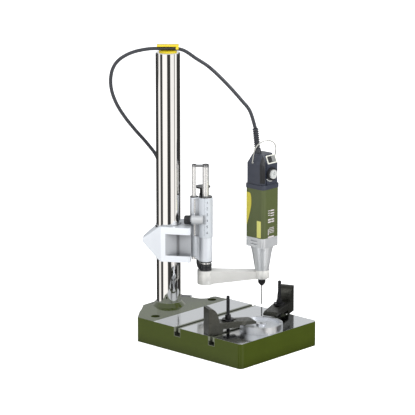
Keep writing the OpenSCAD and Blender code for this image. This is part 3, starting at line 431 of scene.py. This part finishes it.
glossy_black = plain("glossy_black", srgb(40, 41, 44), 0.14, 0.0, vary=0.1, grain_depth=0.00001)
wire = plain("bright_wire", srgb(190, 190, 184), 0.2, 0.5, vary=0.04)
# The right clamp gets a darker copy of the same clamp steel: painted shade
oiled, oiled_painted_shade = (plain(name, color, 0.38, 0.7, vary=0.3, vary_scale=90, rough_vary=0.12,
                           grain=700, grain_depth=0.00006)
                     for name, color in (("oiled_steel", OILED), ("oiled_painted_shade", OILED_PAINTED_SHADE)))
dark_screw = plain("black_oxide", srgb(48, 48, 50), 0.36, 0.8, vary=0.15)
black = plain("black_plastic", BLACK, 0.32, 0.0, vary=0.1, grain=1400, grain_depth=0.00003)
rubber = plain("rubber", RUBBER, 0.46, 0.0, vary=0.1, grain=1600, grain_depth=0.00004)
green_plastic = plain("green_plastic", TOOL_GREEN, 0.36, 0.0, vary=0.06, grain=2000,
                      grain_depth=0.00003)
yellow = plain("yellow_plastic", YELLOW, 0.36, 0.0, vary=0.05)
cream = plain("white_plastic", CREAM, 0.4, 0.0, vary=0.03)
bronze = plain("bronze", BRONZE, 0.3, 1.0, vary=0.1)
copper = brushed("copper_winding", COPPER, 0.3, (400, 400, 3000), depth=0.0001)
WORK_AT = (235 * MM, -5 * MM)
work_metal = turned("turned_aluminium", srgb(222, 224, 228), 0.34, WORK_AT, 1.2 * MM,
                    depth=0.000003)

# The head's pocket, seen along the head's direction, where the paint gets a painted shade
POCKET_X0 = -4.1 * MM
POCKET_Y = -5 * MM
POCKET_Z = (147.4 * MM, 188.1 * MM)
POCKET_FOLD_X = 19 * MM


def silver_paint(name, color, depth=0.55, pocket=False):
    """Satin paint on the castings, with painted shade in corners and inside the head's pocket."""
    n = Nodes(name)
    cloud = n.noise(40, 4)
    shade = n.mix(cloud, lighter(color, 0.97), lighter(color, 1.03))
    if pocket:
        x, y, z = n.axes(n.mapped(turn=(0, 0, -HEAD_SWING)))
        inside = n.math("GREATER_THAN", x, POCKET_X0)
        for mask in (n.math("LESS_THAN", y, POCKET_Y), n.math("GREATER_THAN", z, POCKET_Z[0]),
                     n.math("LESS_THAN", z, POCKET_Z[1])):
            inside = n.math("MULTIPLY", inside, mask)
        # Painted shade inside the pocket, darkest along its fold
        off_fold = n.math("ABSOLUTE", n.math("SUBTRACT", x, POCKET_FOLD_X))
        pocket_shade = n.mix(n.ramp(off_fold, 0.5 * MM, 5 * MM), lighter(color, 0.24), lighter(color, 0.56))
        shade = n.mix(inside, shade, pocket_shade)
    relief = n.bump(n.noise(1500, 3), 0.00003)
    return n.set(color=n.shaded(shade, 0.05, depth), rough=n.ramp(cloud, 0.3, 0.7, 0.33, 0.42),
                 metal=0.25, normal=relief)


silver = silver_paint("silver_paint", SILVER)
head_silver = silver_paint("head_silver", SILVER, pocket=True)
arm_silver = silver_paint("arm_silver", srgb(236, 235, 231))


# Corner of the tool's cap, seen from the spindle, where the shade of a recess is painted
JOINT_X = 12.5 * MM
JOINT_Y = -13.5 * MM
JOINT_Z = 284 * MM


def cap_paint():
    """Grey plastic, with painted shade in the recess beside the tool's front panel."""
    n = Nodes("cap_plastic")
    x, y, z = n.axes(n.mapped(place=(-TOOL[0], -TOOL[1], 0)))
    recess_shade = n.math("MULTIPLY", n.math("GREATER_THAN", x, JOINT_X),
                   n.math("LESS_THAN", y, JOINT_Y))
    recess_shade = n.math("MULTIPLY", recess_shade, n.math("GREATER_THAN", z, JOINT_Z))
    cloud = n.noise(60, 4)
    shade = n.mix(cloud, lighter(CAP_GREY, 0.93), lighter(CAP_GREY, 1.07))
    # Painted shade: near black in the recess at the cap's corner
    shade = n.mix(recess_shade, shade, srgb(26, 27, 30))
    relief = n.bump(n.noise(2200, 3), 0.00004)
    return n.set(color=shade, rough=n.ramp(cloud, 0.3, 0.7, 0.36, 0.48), normal=relief)


def threaded(name, color, pitch, axis_at, radius):
    """Dark steel, with the rings of a thread within a radius of an upright axis, drawn as painted
    shade in the grooves and painted highlight on the crests.
    """
    n = Nodes(name)
    x, y, z = n.axes(n.mapped(place=(-axis_at[0], -axis_at[1], 0)))
    out = n.math("SQRT", n.math("ADD", n.math("MULTIPLY", x, x), n.math("MULTIPLY", y, y)))
    near = n.math("LESS_THAN", out, radius)
    turn = n.math("ARCTAN2", y, x)
    wave = n.math("SINE", n.math("ADD", n.math("MULTIPLY", z, 2 * math.pi / pitch), turn))
    groove = n.math("MULTIPLY", n.ramp(wave, -1, 1), near)
    # Painted shade and highlight of the thread: half as bright in the grooves, half again as bright
    # on the crests
    shade = n.mix(groove, lighter(color, 0.5), lighter(color, 1.5))
    relief = n.bump(groove, 0.0004)
    return n.set(color=shade, rough=0.34, metal=0.75, normal=relief)


def painted_light_split(name, dark, light, split_y):
    """Plastic that is dark before a plane across Y and lighter behind it, where the light on that
    face is painted.
    """
    n = Nodes(name)
    side = n.math("GREATER_THAN", n.axes()[1], split_y)
    cloud = n.noise(300, 3)
    shade = n.mix(side, n.mix(cloud, lighter(dark, 0.9), lighter(dark, 1.1)),
                  n.mix(cloud, lighter(light, 0.95), lighter(light, 1.05)))
    relief = n.bump(n.noise(1500, 3), 0.00002)
    return n.set(color=shade, rough=n.ramp(cloud, 0.3, 0.7, 0.22, 0.34), normal=relief)


DARK = srgb(46, 46, 48)
SLOT_X = (119.5 * MM, 203.7 * MM)
BOLT_Y = (-59 * MM, 80 * MM)
THREAD_PITCH = 1 * MM
THREAD_R = 3.1 * MM
ROCKER_SPLIT_Y = 115.2 * MM
left_thread, right_thread = (threaded(name, DARK, THREAD_PITCH, (SLOT_X[1], y), THREAD_R)
                             for name, y in zip(("left_thread", "right_thread"), BOLT_Y))
# The rocker is dark plastic; its rear face gets painted light
rocker_painted_light = painted_light_split("rocker_painted_light", srgb(30, 30, 32), srgb(132, 133, 131), ROCKER_SPLIT_Y)

# Where the base's paint ends: the table, its slots, and the faces at the table's height
TABLE_X0 = 60 * MM
TABLE_Z = 45.9 * MM
SLOT_HALF = 7.8 * MM
SLOT_FLOOR_Z = 29.2 * MM
TOP_Z = 45.5 * MM


def base_paint():
    """Green enamel, with the ground table and the slots bare, the slots darkened by painted shade
    and inner corners in painted shade.
    """
    n = Nodes("base_paint")
    x, y, z = n.axes()
    cloud = n.noise(30, 4)
    paint = n.mix(cloud, lighter(GREEN, 0.9), lighter(GREEN, 1.1))
    bare = n.math("MULTIPLY", n.math("GREATER_THAN", x, TABLE_X0),
                  n.math("GREATER_THAN", z, TABLE_Z))
    slots = 0.0
    for slot_x in SLOT_X:
        off_slot = n.math("ABSOLUTE", n.math("SUBTRACT", x, slot_x))
        inside = n.math("MULTIPLY", n.math("LESS_THAN", off_slot, SLOT_HALF),
                        n.math("GREATER_THAN", z, SLOT_FLOOR_Z))
        slots = n.math("MAXIMUM", slots, inside)
        bare = n.math("MAXIMUM", bare, inside)
    lines = n.noise(1, 3, 0.6, n.mapped(scale=(60, 1800, 60)))
    metal_color = n.mix(lines, lighter(ALUMINIUM, 0.86), lighter(ALUMINIUM, 1.0))
    # Painted shade: the slots get a dark greenish grey instead of the bare metal
    shade = n.mix(bare, paint, n.mix(slots, metal_color, srgb(112, 116, 102)))
    paint_gloss = n.ramp(n.noise(90, 3), 0.3, 0.7, 0.07, 0.12)
    metal_gloss = n.ramp(lines, 0.3, 0.7, 0.07, 0.15)
    gloss = n.math("ADD", n.math("MULTIPLY", bare, metal_gloss),
                   n.math("MULTIPLY", n.math("SUBTRACT", 1.0, bare), paint_gloss))
    orange = n.math("MULTIPLY", n.noise(350, 3), n.math("SUBTRACT", 1.0, bare))
    relief = n.bump(orange, 0.00003, 0.8)
    metal = n.math("SUBTRACT", bare, n.math("MULTIPLY", slots, 0.7))
    top = n.math("GREATER_THAN", z, TOP_Z)
    specular = n.ramp(top, 0, 1, 0.12, 0.2, smooth=False)
    painted_top = n.math("MULTIPLY", top, n.math("SUBTRACT", 1.0, bare))
    # The colour gets painted shade towards inner corners
    return n.set(color=n.shaded(shade, 0.02, 0.4), rough=gloss, metal=metal, normal=relief,
                 specular=specular, coat=n.math("MULTIPLY", painted_top, 0.14),
                 coat_rough=0.04)


base_material = base_paint()

MATERIALS = {
    base_material: ["base_casting"],
    chrome: ["column"],
    rods: ["front_rod", "rear_rod", "buffer_ring"],
    green_enamel: ["column_flange"],
    wire: ["hanging_bail"],
    bright: ["spring_collar", "return_spring", "spindle_bearings", "spindle_shaft", "plug_pins",
             "lock_washer", "rod_yoke", "clamp_bush", "motor_can"],
    silver: ["quill_housing"],
    head_silver: ["head_casting"],
    arm_silver: ["tool_arm"],
    cast: ["tool_nose", "tool_band", "lock_boss"],
    plate_grey: ["scale_plate"],
    oiled: ["left_clamp"],
    oiled_painted_shade: ["right_clamp"],
    left_thread: ["left_bolt"],
    right_thread: ["right_bolt"],
    dark_screw: ["column_set_screw", "left_nut", "right_nut", "left_washer", "right_washer",
                 "housing_screws", "head_clamp_screws", "arm_set_screws", "yoke_screws",
                 "collet_nut", "drill_bit"],
    black: ["lock_knob", "stop_ring", "stop_knob", "speed_dial", "rod_seals", "plug_body",
            "coil_tie"],
    rocker_painted_light: ["switch_rocker"],
    rubber: ["cord_tail", "cord_coil", "plug_lead", "cord_lead", "strain_relief"],
    glossy_black: ["buffer_collar"],
    cap_paint(): ["tool_trim", "tool_rear_cap"],
    green_plastic: ["tool_body"],
    yellow: ["cable_holder"],
    cream: ["switch_frame"],
    bronze: ["guide_bushes"],
    copper: ["armature"],
    work_metal: ["workpiece"],
}


def paint(obj, material):
    """Gives every slot of an object the same material."""
    if not obj.material_slots:
        obj.data.materials.append(material)
    for place in obj.material_slots:
        place.material = material


for material, names in MATERIALS.items():
    for name in names:
        paint(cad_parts[name], material)
for part in lead_parts + [mains_cord]:
    paint(part, rubber)


# Details

HEAD_TURN = np.array([[math.cos(HEAD_SWING), -math.sin(HEAD_SWING), 0],
                      [math.sin(HEAD_SWING), math.cos(HEAD_SWING), 0], [0, 0, 1]])
FRONT_ROD_X = 68.8 * MM
PLATE_R = 13.39 * MM


def detail(name, points, faces, body, slot, material, smooth=False):
    """Small piece that rides a body."""
    obj = mesh_object(name, points, faces, smooth)
    paint(obj, material)
    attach(obj, body)
    return obj


def on_plate(angle, z, r=PLATE_R):
    """Point of the scale: the angle about the front rod from the head's direction."""
    a = math.radians(angle)
    return HEAD_TURN @ np.array([FRONT_ROD_X + r * math.cos(a), r * math.sin(a), z * MM])


def stroke(points, faces, a0, z0, a1, z1, half):
    """Thin line on the scale, between two places given by angle and height."""
    degree = math.radians(1) * PLATE_R / MM
    da, dz = (a1 - a0) * degree, z1 - z0
    size = math.hypot(da, dz)
    ua, uz = da / size * half, dz / size * half
    start = len(points)
    steps = max(1, int(abs(a1 - a0) / 6))
    for i in range(steps + 1):
        a, z = a0 + (a1 - a0) * i / steps, z0 + (z1 - z0) * i / steps
        points.append(on_plate(a - uz / degree, z + ua))
        points.append(on_plate(a + uz / degree, z - ua))
    for i in range(steps):
        k = start + 2 * i
        faces.append((k, k + 1, k + 3, k + 2))


# Strokes of the digits 1 to 6 in a box one wide and two high
DIGITS = {
    1: [(0.2, 1.6, 0.6, 2), (0.6, 2, 0.6, 0)],
    2: [(0, 1.7, 0.3, 2), (0.3, 2, 0.8, 2), (0.8, 2, 1, 1.5), (1, 1.5, 0, 0), (0, 0, 1, 0)],
    3: [(0, 2, 1, 2), (1, 2, 0.4, 1.2), (0.4, 1.2, 1, 0.8), (1, 0.8, 0.7, 0), (0.7, 0, 0, 0)],
    4: [(0.7, 0, 0.7, 2), (0.7, 2, 0, 0.7), (0, 0.7, 1, 0.7)],
    5: [(1, 2, 0.1, 2), (0.1, 2, 0, 1.1), (0, 1.1, 0.8, 1.2), (0.8, 1.2, 1, 0.5),
        (1, 0.5, 0.6, 0), (0.6, 0, 0, 0.1)],
    6: [(0.9, 2, 0.2, 1.3), (0.2, 1.3, 0, 0.5), (0, 0.5, 0.4, 0), (0.4, 0, 1, 0.3),
        (1, 0.3, 0.8, 1), (0.8, 1, 0.1, 0.9)],
}
# Angles in degrees about the front rod, heights and half widths in millimetres
FIRST_MARK_Z = 186.6
MARK_PITCH = 11.4
MARK_ANGLE = -102
MARK_HALF = 0.13
DIGIT_ANGLE = -79
DIGIT_TURN = 9
DIGIT_UNIT = 2.1
DIGIT_HALF = 0.42
points, faces = [], []
for number, strokes in DIGITS.items():
    low = FIRST_MARK_Z + MARK_PITCH * (6 - number) - DIGIT_UNIT
    for x0, z0, x1, z1 in strokes:
        stroke(points, faces, DIGIT_ANGLE + DIGIT_TURN * x0, low + DIGIT_UNIT * z0,
               DIGIT_ANGLE + DIGIT_TURN * x1, low + DIGIT_UNIT * z1, DIGIT_HALF)
detail("scale_numbers", points, faces, "head", "black_plastic", print_dark)
points, faces = [], []
for k in range(-5, 58):
    z = FIRST_MARK_Z + MARK_PITCH * k / 10
    reach = 16 if k % 10 == 0 else 12 if k % 5 == 0 else 8
    stroke(points, faces, MARK_ANGLE, z, MARK_ANGLE + reach, z, MARK_HALF)
detail("scale_marks", points, faces, "head", "black_plastic", print_dark)


def lathe(profile, at, sides=48):
    """Points and faces turned about an upright axis, from (radius, height) in order."""
    points = [(at[0] + r * math.cos(2 * math.pi * k / sides),
               at[1] + r * math.sin(2 * math.pi * k / sides), z)
              for r, z in profile for k in range(sides)]
    n = len(profile)
    faces = [(i * sides + k, ((i + 1) % n) * sides + k,
              ((i + 1) % n) * sides + (k + 1) % sides, i * sides + (k + 1) % sides)
             for i in range(n) for k in range(sides)]
    return points, faces


front_rod = HEAD_TURN @ np.array([FRONT_ROD_X, 0, 0])
SEAL_PROFILE = np.array([(6.4, 129.45), (6.4, 128.1), (11.4, 128.1), (12, 128.6),
                         (11.6, 129.45)]) * MM
points, faces = lathe(SEAL_PROFILE, front_rod)
detail("housing_seal", points, faces, "head", "black_rubber", black, smooth=True)

# Soft yellow grip, strip and plain label on the tool's body
BODY_HALF = 22.5 * MM
BODY_R = 7 * MM
PRINT_LIFT = 0.2 * MM


def on_body(s, z):
    """Point of the tool body's wall: s runs along its near face and round both corners."""
    flat = BODY_HALF - BODY_R
    past = min(max(abs(s) - flat, 0), BODY_R * math.pi / 2)
    beyond = abs(s) - flat - past
    a = past / BODY_R
    side = math.copysign(1, s)
    x = side * (min(abs(s), flat) + (BODY_R + PRINT_LIFT) * math.sin(a))
    y = -flat - (BODY_R + PRINT_LIFT) * math.cos(a) + (beyond if beyond > 0 else 0)
    return TOOL + np.array([x, y, z])


def patch(rows, columns=14):
    """Sheet on the tool body's wall from rows of (height, left end, right end)."""
    points = [on_body(s0 + (s1 - s0) * k / columns, z)
              for z, s0, s1 in rows for k in range(columns + 1)]
    wide = columns + 1
    faces = [(i * wide + k, i * wide + k + 1, (i + 1) * wide + k + 1, (i + 1) * wide + k)
             for i in range(len(rows) - 1) for k in range(columns)]
    return points, faces


GRIP = [(203, -17.2), (208, -15.6), (213, -13.8), (221, -11.5), (229, -9.3), (235, -7.9),
        (241, -6.9), (247, -6.5), (252, -6.6), (257, -7.2), (261, -8.2), (263, -9.6),
        (264, -12)]
points, faces = patch([(z * MM, -30 * MM, s * MM) for z, s in GRIP])
detail("side_grip", points, faces, "quill", "yellow_plastic", soft_yellow, smooth=True)
points, faces = patch([(z * MM, 7.2 * MM, 17 * MM) for z in (181.5, 213)])
detail("side_strip", points, faces, "quill", "yellow_plastic", print_yellow, smooth=True)


def oblongs(boxes, place):
    """Points and faces of flat oblongs (y0, y1, z0, z1), with each corner set by place."""
    points = [place(y, z) for y0, y1, z0, z1 in boxes
              for y, z in ((y0, z0), (y1, z0), (y1, z1), (y0, z1))]
    return points, [tuple(range(k, k + 4)) for k in range(0, len(points), 4)]


# Height, how tall, left end and right end of each row of the plain label
LABEL_ROWS = [(231.5, 1.3, -9, -3.5), (227.3, 1.3, -9, -4.5), (223.2, 1.3, -9, -3.5),
              (231, 2.2, -2.4, 7.5), (226, 2.2, -2.4, 7.5), (221.5, 1.6, -2.4, 7.5),
              (214.5, 2.6, -9, -1.2), (214.5, 2.6, 0.2, 7.5), (210, 2.4, -9, -1.2),
              (210, 2.4, 0.2, 7.5), (198.5, 1.0, -6, 7.5), (195.5, 1.0, -6, 7.5),
              (192.5, 1.0, -6, 7.5), (189.5, 1.0, -6, 7.5), (191, 11, -9, -7.2),
              (181.5, 2.6, -9, 7.5)]
points, faces = oblongs(
    [(y0, y1, z - tall / 2, z + tall / 2) for z, tall, y0, y1 in LABEL_ROWS],
    lambda y, z: TOOL + np.array([BODY_HALF + PRINT_LIFT, y * MM, z * MM]))
detail("plain_label", points, faces, "quill", "white_plastic", print_light)


def dish(profile, at, sides=48):
    """Round piece about an axis along +X, from (radius, distance) in order, closed at the end."""
    points = [(at[0] + d, at[1] + r * math.cos(2 * math.pi * k / sides),
               at[2] + r * math.sin(2 * math.pi * k / sides))
              for r, d in profile for k in range(sides)]
    faces = [(i * sides + k, i * sides + (k + 1) % sides, (i + 1) * sides + (k + 1) % sides,
              (i + 1) * sides + k) for i in range(len(profile) - 1) for k in range(sides)]
    last = (len(profile) - 1) * sides
    faces.append(tuple(last + k for k in range(sides)))
    return points, faces


DIAL = TOOL + np.array([21 * MM, 0, 300 * MM])
DIAL_PROFILE = np.array([(8.7, 5.02), (8.7, 7.7), (8.1, 8.3), (5.6, 8.3), (5.2, 8.1)]) * MM
points, faces = dish(DIAL_PROFILE, DIAL)
detail("dial_cap", points, faces, "speed_dial", "white_plastic", dial_grey)
MARK_FACE = 8.2 * MM
points, faces = oblongs([(-0.5, 0.5, 1.2, 4.8), (-2.2, 2.2, -1.0, -0.2)],
                        lambda y, z: DIAL + np.array([MARK_FACE, y * MM, z * MM]))
detail("dial_mark", points, faces, "speed_dial", "black_plastic", print_dark)
ARC_STEPS = 12
ARC_START = 215
ARC_STEP = 8
ARC_FACE = 0.15 * MM
ARC_R = (12.8 * MM, 14.6 * MM)
points = []
for k in range(ARC_STEPS + 1):
    a = math.radians(ARC_START + ARC_STEP * k)
    for r in ARC_R:
        points.append(DIAL + np.array([ARC_FACE, r * math.cos(a), r * math.sin(a)]))
faces = [(2 * k, 2 * k + 1, 2 * k + 3, 2 * k + 2) for k in range(ARC_STEPS)]
detail("dial_scale", points, faces, "quill", "white_plastic", dial_grey)

# Drill with two flutes that wind up its length
BIT_R = 1.1 * MM
BIT_Z0 = 47.5 * MM
BIT_Z1 = 89.8 * MM
FLUTE_Z1 = 80 * MM
FLUTE_LEAD = 9 * MM
FLUTE_DEPTH = 0.5
POINT_LEN = 0.8 * MM
sides, rows = 20, 90
points = []
for i in range(rows + 1):
    z = BIT_Z0 + (BIT_Z1 - BIT_Z0) * i / rows
    depth = FLUTE_DEPTH if z < FLUTE_Z1 else 0.0
    narrow = min(1.0, 0.15 + (z - BIT_Z0) / POINT_LEN)
    for k in range(sides):
        a = 2 * math.pi * k / sides
        cut = max(0.0, math.cos(2 * (a - z * 2 * math.pi / FLUTE_LEAD))) ** 2 * depth
        r = BIT_R * narrow * (1 - cut)
        points.append(TOOL + np.array([r * math.cos(a), r * math.sin(a), z]))
faces = [(i * sides + k, i * sides + (k + 1) % sides, (i + 1) * sides + (k + 1) % sides,
          (i + 1) * sides + k) for i in range(rows) for k in range(sides)]
faces += [tuple(range(sides - 1, -1, -1)), tuple(rows * sides + k for k in range(sides))]
drill = detail("drill", points, faces, "spindle", "bright_steel", drill_steel, smooth=True)
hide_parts("drill_bit")

# Ribbed sleeve over the cord where it leaves the tool
RIBS = 9
RIB_FOOT = 10 * MM
RIB_PITCH = 3.95 * MM
NECK_R = 4.2 * MM
RIB_R = 5.7 * MM
path = [RELIEF_FOOT, RELIEF_FOOT + 9 * MM * RELIEF_AXIS]
radii = [7 * MM, 5.6 * MM]
for i in range(RIBS):
    for share, r in ((0.0, NECK_R), (0.3, NECK_R), (0.5, RIB_R), (0.8, RIB_R)):
        path.append(RELIEF_FOOT + (RIB_FOOT + (i + share) * RIB_PITCH) * RELIEF_AXIS)
        radii.append(r)
path.append(RELIEF_TIP)
radii.append(4.6 * MM)
relief = sweep("ribbed_relief", path, NECK_R, 24, (0, 1, 0), radii, smooth=False)
paint(relief, rubber)
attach(relief, "quill")
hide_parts("strain_relief")

# Return spring, built at one length, though the real one shortens as the quill is fed down
SPRING_R = 7.9 * MM
SPRING_WIRE_R = 0.6 * MM
SPRING_TURNS = 12
SPRING_END_PITCH = 1.7 * MM
SPRING_Z0 = 148.7 * MM
SPRING_Z1 = 237.2 * MM
SPRING_STEPS = 16
work_pitch = (SPRING_Z1 - SPRING_Z0 - 2 * (SPRING_WIRE_R + SPRING_END_PITCH)) / SPRING_TURNS
path = []
for i in range((SPRING_TURNS + 2) * SPRING_STEPS + 1):
    turned_by = i / SPRING_STEPS
    ends = min(turned_by, 1) + max(turned_by - 1 - SPRING_TURNS, 0)
    works = min(max(turned_by - 1, 0), SPRING_TURNS)
    a = HEAD_SWING + 2 * math.pi * turned_by
    path.append(front_rod + np.array([
        SPRING_R * math.cos(a), SPRING_R * math.sin(a),
        SPRING_Z0 + SPRING_WIRE_R + SPRING_END_PITCH * ends + work_pitch * works]))
spring = sweep("spring", path, SPRING_WIRE_R, 8)
paint(spring, bright)
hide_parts("return_spring")
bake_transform(spring)

# Rounded edges, by their widths in millimetres
BEVELS = {"base_casting": 0.8, "left_clamp": 0.5, "right_clamp": 0.5, "head_casting": 0.8,
          "tool_arm": 0.7, "quill_housing": 0.4, "cable_holder": 0.35, "tool_rear_cap": 0.5,
          "tool_trim": 0.4, "plug_body": 0.8, "left_nut": 0.3, "right_nut": 0.3,
          "tool_band": 0.3, "switch_frame": 0.15, "coil_tie": 0.2}
for name, width in BEVELS.items():
    bevelled(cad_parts[name], width * MM)


# Stage

FLOOR_HALF = 30
floor = mesh_object("floor", [(x * FLOOR_HALF, y * FLOOR_HALF, 0)
                              for x, y in ((-1, -1), (1, -1), (1, 1), (-1, 1))],
                    [(0, 1, 2, 3)], smooth=False)
floor_nodes = Nodes("floor")
floor_material = floor_nodes.set(color=(0.9, 0.9, 0.9), rough=0.9, specular=0.0)
floor_nodes.shader.inputs["Emission Color"].default_value = (1, 1, 1, 1)
floor_nodes.shader.inputs["Emission Strength"].default_value = 0.8
paint(floor, floor_material)
floor.visible_glossy = False

# Bands of dark and light round the horizon, which bright metal mirrors, as (degrees, light)
BANDS = [(-180, 0.06), (-103, 1.3), (-77, 0.07), (-52, 1.4), (-7, 0.06), (23, 1.3), (60, 0.3),
         (69, 1.4), (84, 0.05), (150, 0.5)]
world = bpy.data.worlds.new("studio")
bpy.context.scene.world = world
world.use_nodes = True
tree = world.node_tree
tree.nodes.clear()
coords = tree.nodes.new("ShaderNodeTexCoord")
turn = tree.nodes.new("ShaderNodeMapping")
turn.inputs["Rotation"].default_value = (0, 0, math.radians(90) - AZIMUTH)
tree.links.new(coords.outputs["Generated"], turn.inputs[0])
split = tree.nodes.new("ShaderNodeSeparateXYZ")
tree.links.new(turn.outputs[0], split.inputs[0])
angle = tree.nodes.new("ShaderNodeMath")
angle.operation = "ARCTAN2"
tree.links.new(split.outputs[1], angle.inputs[0])
tree.links.new(split.outputs[0], angle.inputs[1])
share = tree.nodes.new("ShaderNodeMapRange")
share.inputs["From Min"].default_value = -math.pi
share.inputs["From Max"].default_value = math.pi
tree.links.new(angle.outputs[0], share.inputs[0])
bands = tree.nodes.new("ShaderNodeValToRGB")
bands.color_ramp.interpolation = "LINEAR"
while len(bands.color_ramp.elements) > 1:
    bands.color_ramp.elements.remove(bands.color_ramp.elements[-1])
EDGE = 2.0
stops = []
for index, (start, value) in enumerate(BANDS):
    end = BANDS[index + 1][0] if index + 1 < len(BANDS) else 180
    stops += [(start + EDGE, value), (end - EDGE, value)]
bands.color_ramp.elements[0].position = (stops[0][0] + 180) / 360
bands.color_ramp.elements[0].color = (stops[0][1],) * 3 + (1,)
for place, value in stops[1:]:
    element = bands.color_ramp.elements.new((place + 180) / 360)
    element.color = (value, value * 0.97, value * 0.93, 1)
tree.links.new(share.outputs[0], bands.inputs[0])

# Above this height the bands give way to an even sky, and only mirrors see either
HORIZON = 0.16
height = tree.nodes.new("ShaderNodeMapRange")
height.interpolation_type = "SMOOTHSTEP"
height.inputs["From Min"].default_value = 0.0
height.inputs["From Max"].default_value = HORIZON
tree.links.new(split.outputs[2], height.inputs[0])
sky = tree.nodes.new("ShaderNodeMix")
sky.data_type = "RGBA"
tree.links.new(height.outputs[0], sky.inputs[0])
tree.links.new(bands.outputs[0], sky.inputs[6])
sky.inputs[7].default_value = (0.97, 0.985, 1.0, 1)
paths = tree.nodes.new("ShaderNodeLightPath")
pick = tree.nodes.new("ShaderNodeMix")
pick.data_type = "RGBA"
tree.links.new(paths.outputs["Is Glossy Ray"], pick.inputs[0])
pick.inputs[6].default_value = (0.66, 0.67, 0.68, 1)
tree.links.new(sky.outputs[2], pick.inputs[7])
background = tree.nodes.new("ShaderNodeBackground")
background.inputs["Strength"].default_value = 0.85
tree.links.new(pick.outputs[2], background.inputs[0])
out = tree.nodes.new("ShaderNodeOutputWorld")
tree.links.new(background.outputs[0], out.inputs[0])


LIT_AT = Vector((0.1, 0, 0.2))


def soft_light(name, place, size, power):
    """Oblong lamp that faces the middle of the stand."""
    data = bpy.data.lights.new(name, "AREA")
    data.shape = "RECTANGLE"
    data.size, data.size_y = size
    data.energy = power
    light = bpy.data.objects.new(name, data)
    bpy.context.scene.collection.objects.link(light)
    light.location = place
    light.rotation_mode = "QUATERNION"
    light.rotation_quaternion = (LIT_AT - light.location).to_track_quat("-Z", "Y")


soft_light("key_light", (2.6, 0.2, 2.2), (1.4, 1.4), 46)
soft_light("fill_light", (0.2, -2.6, 2.4), (1.6, 1.2), 22)

bpy.context.scene.view_settings.view_transform = "Standard"
bpy.context.scene.view_settings.look = "None"
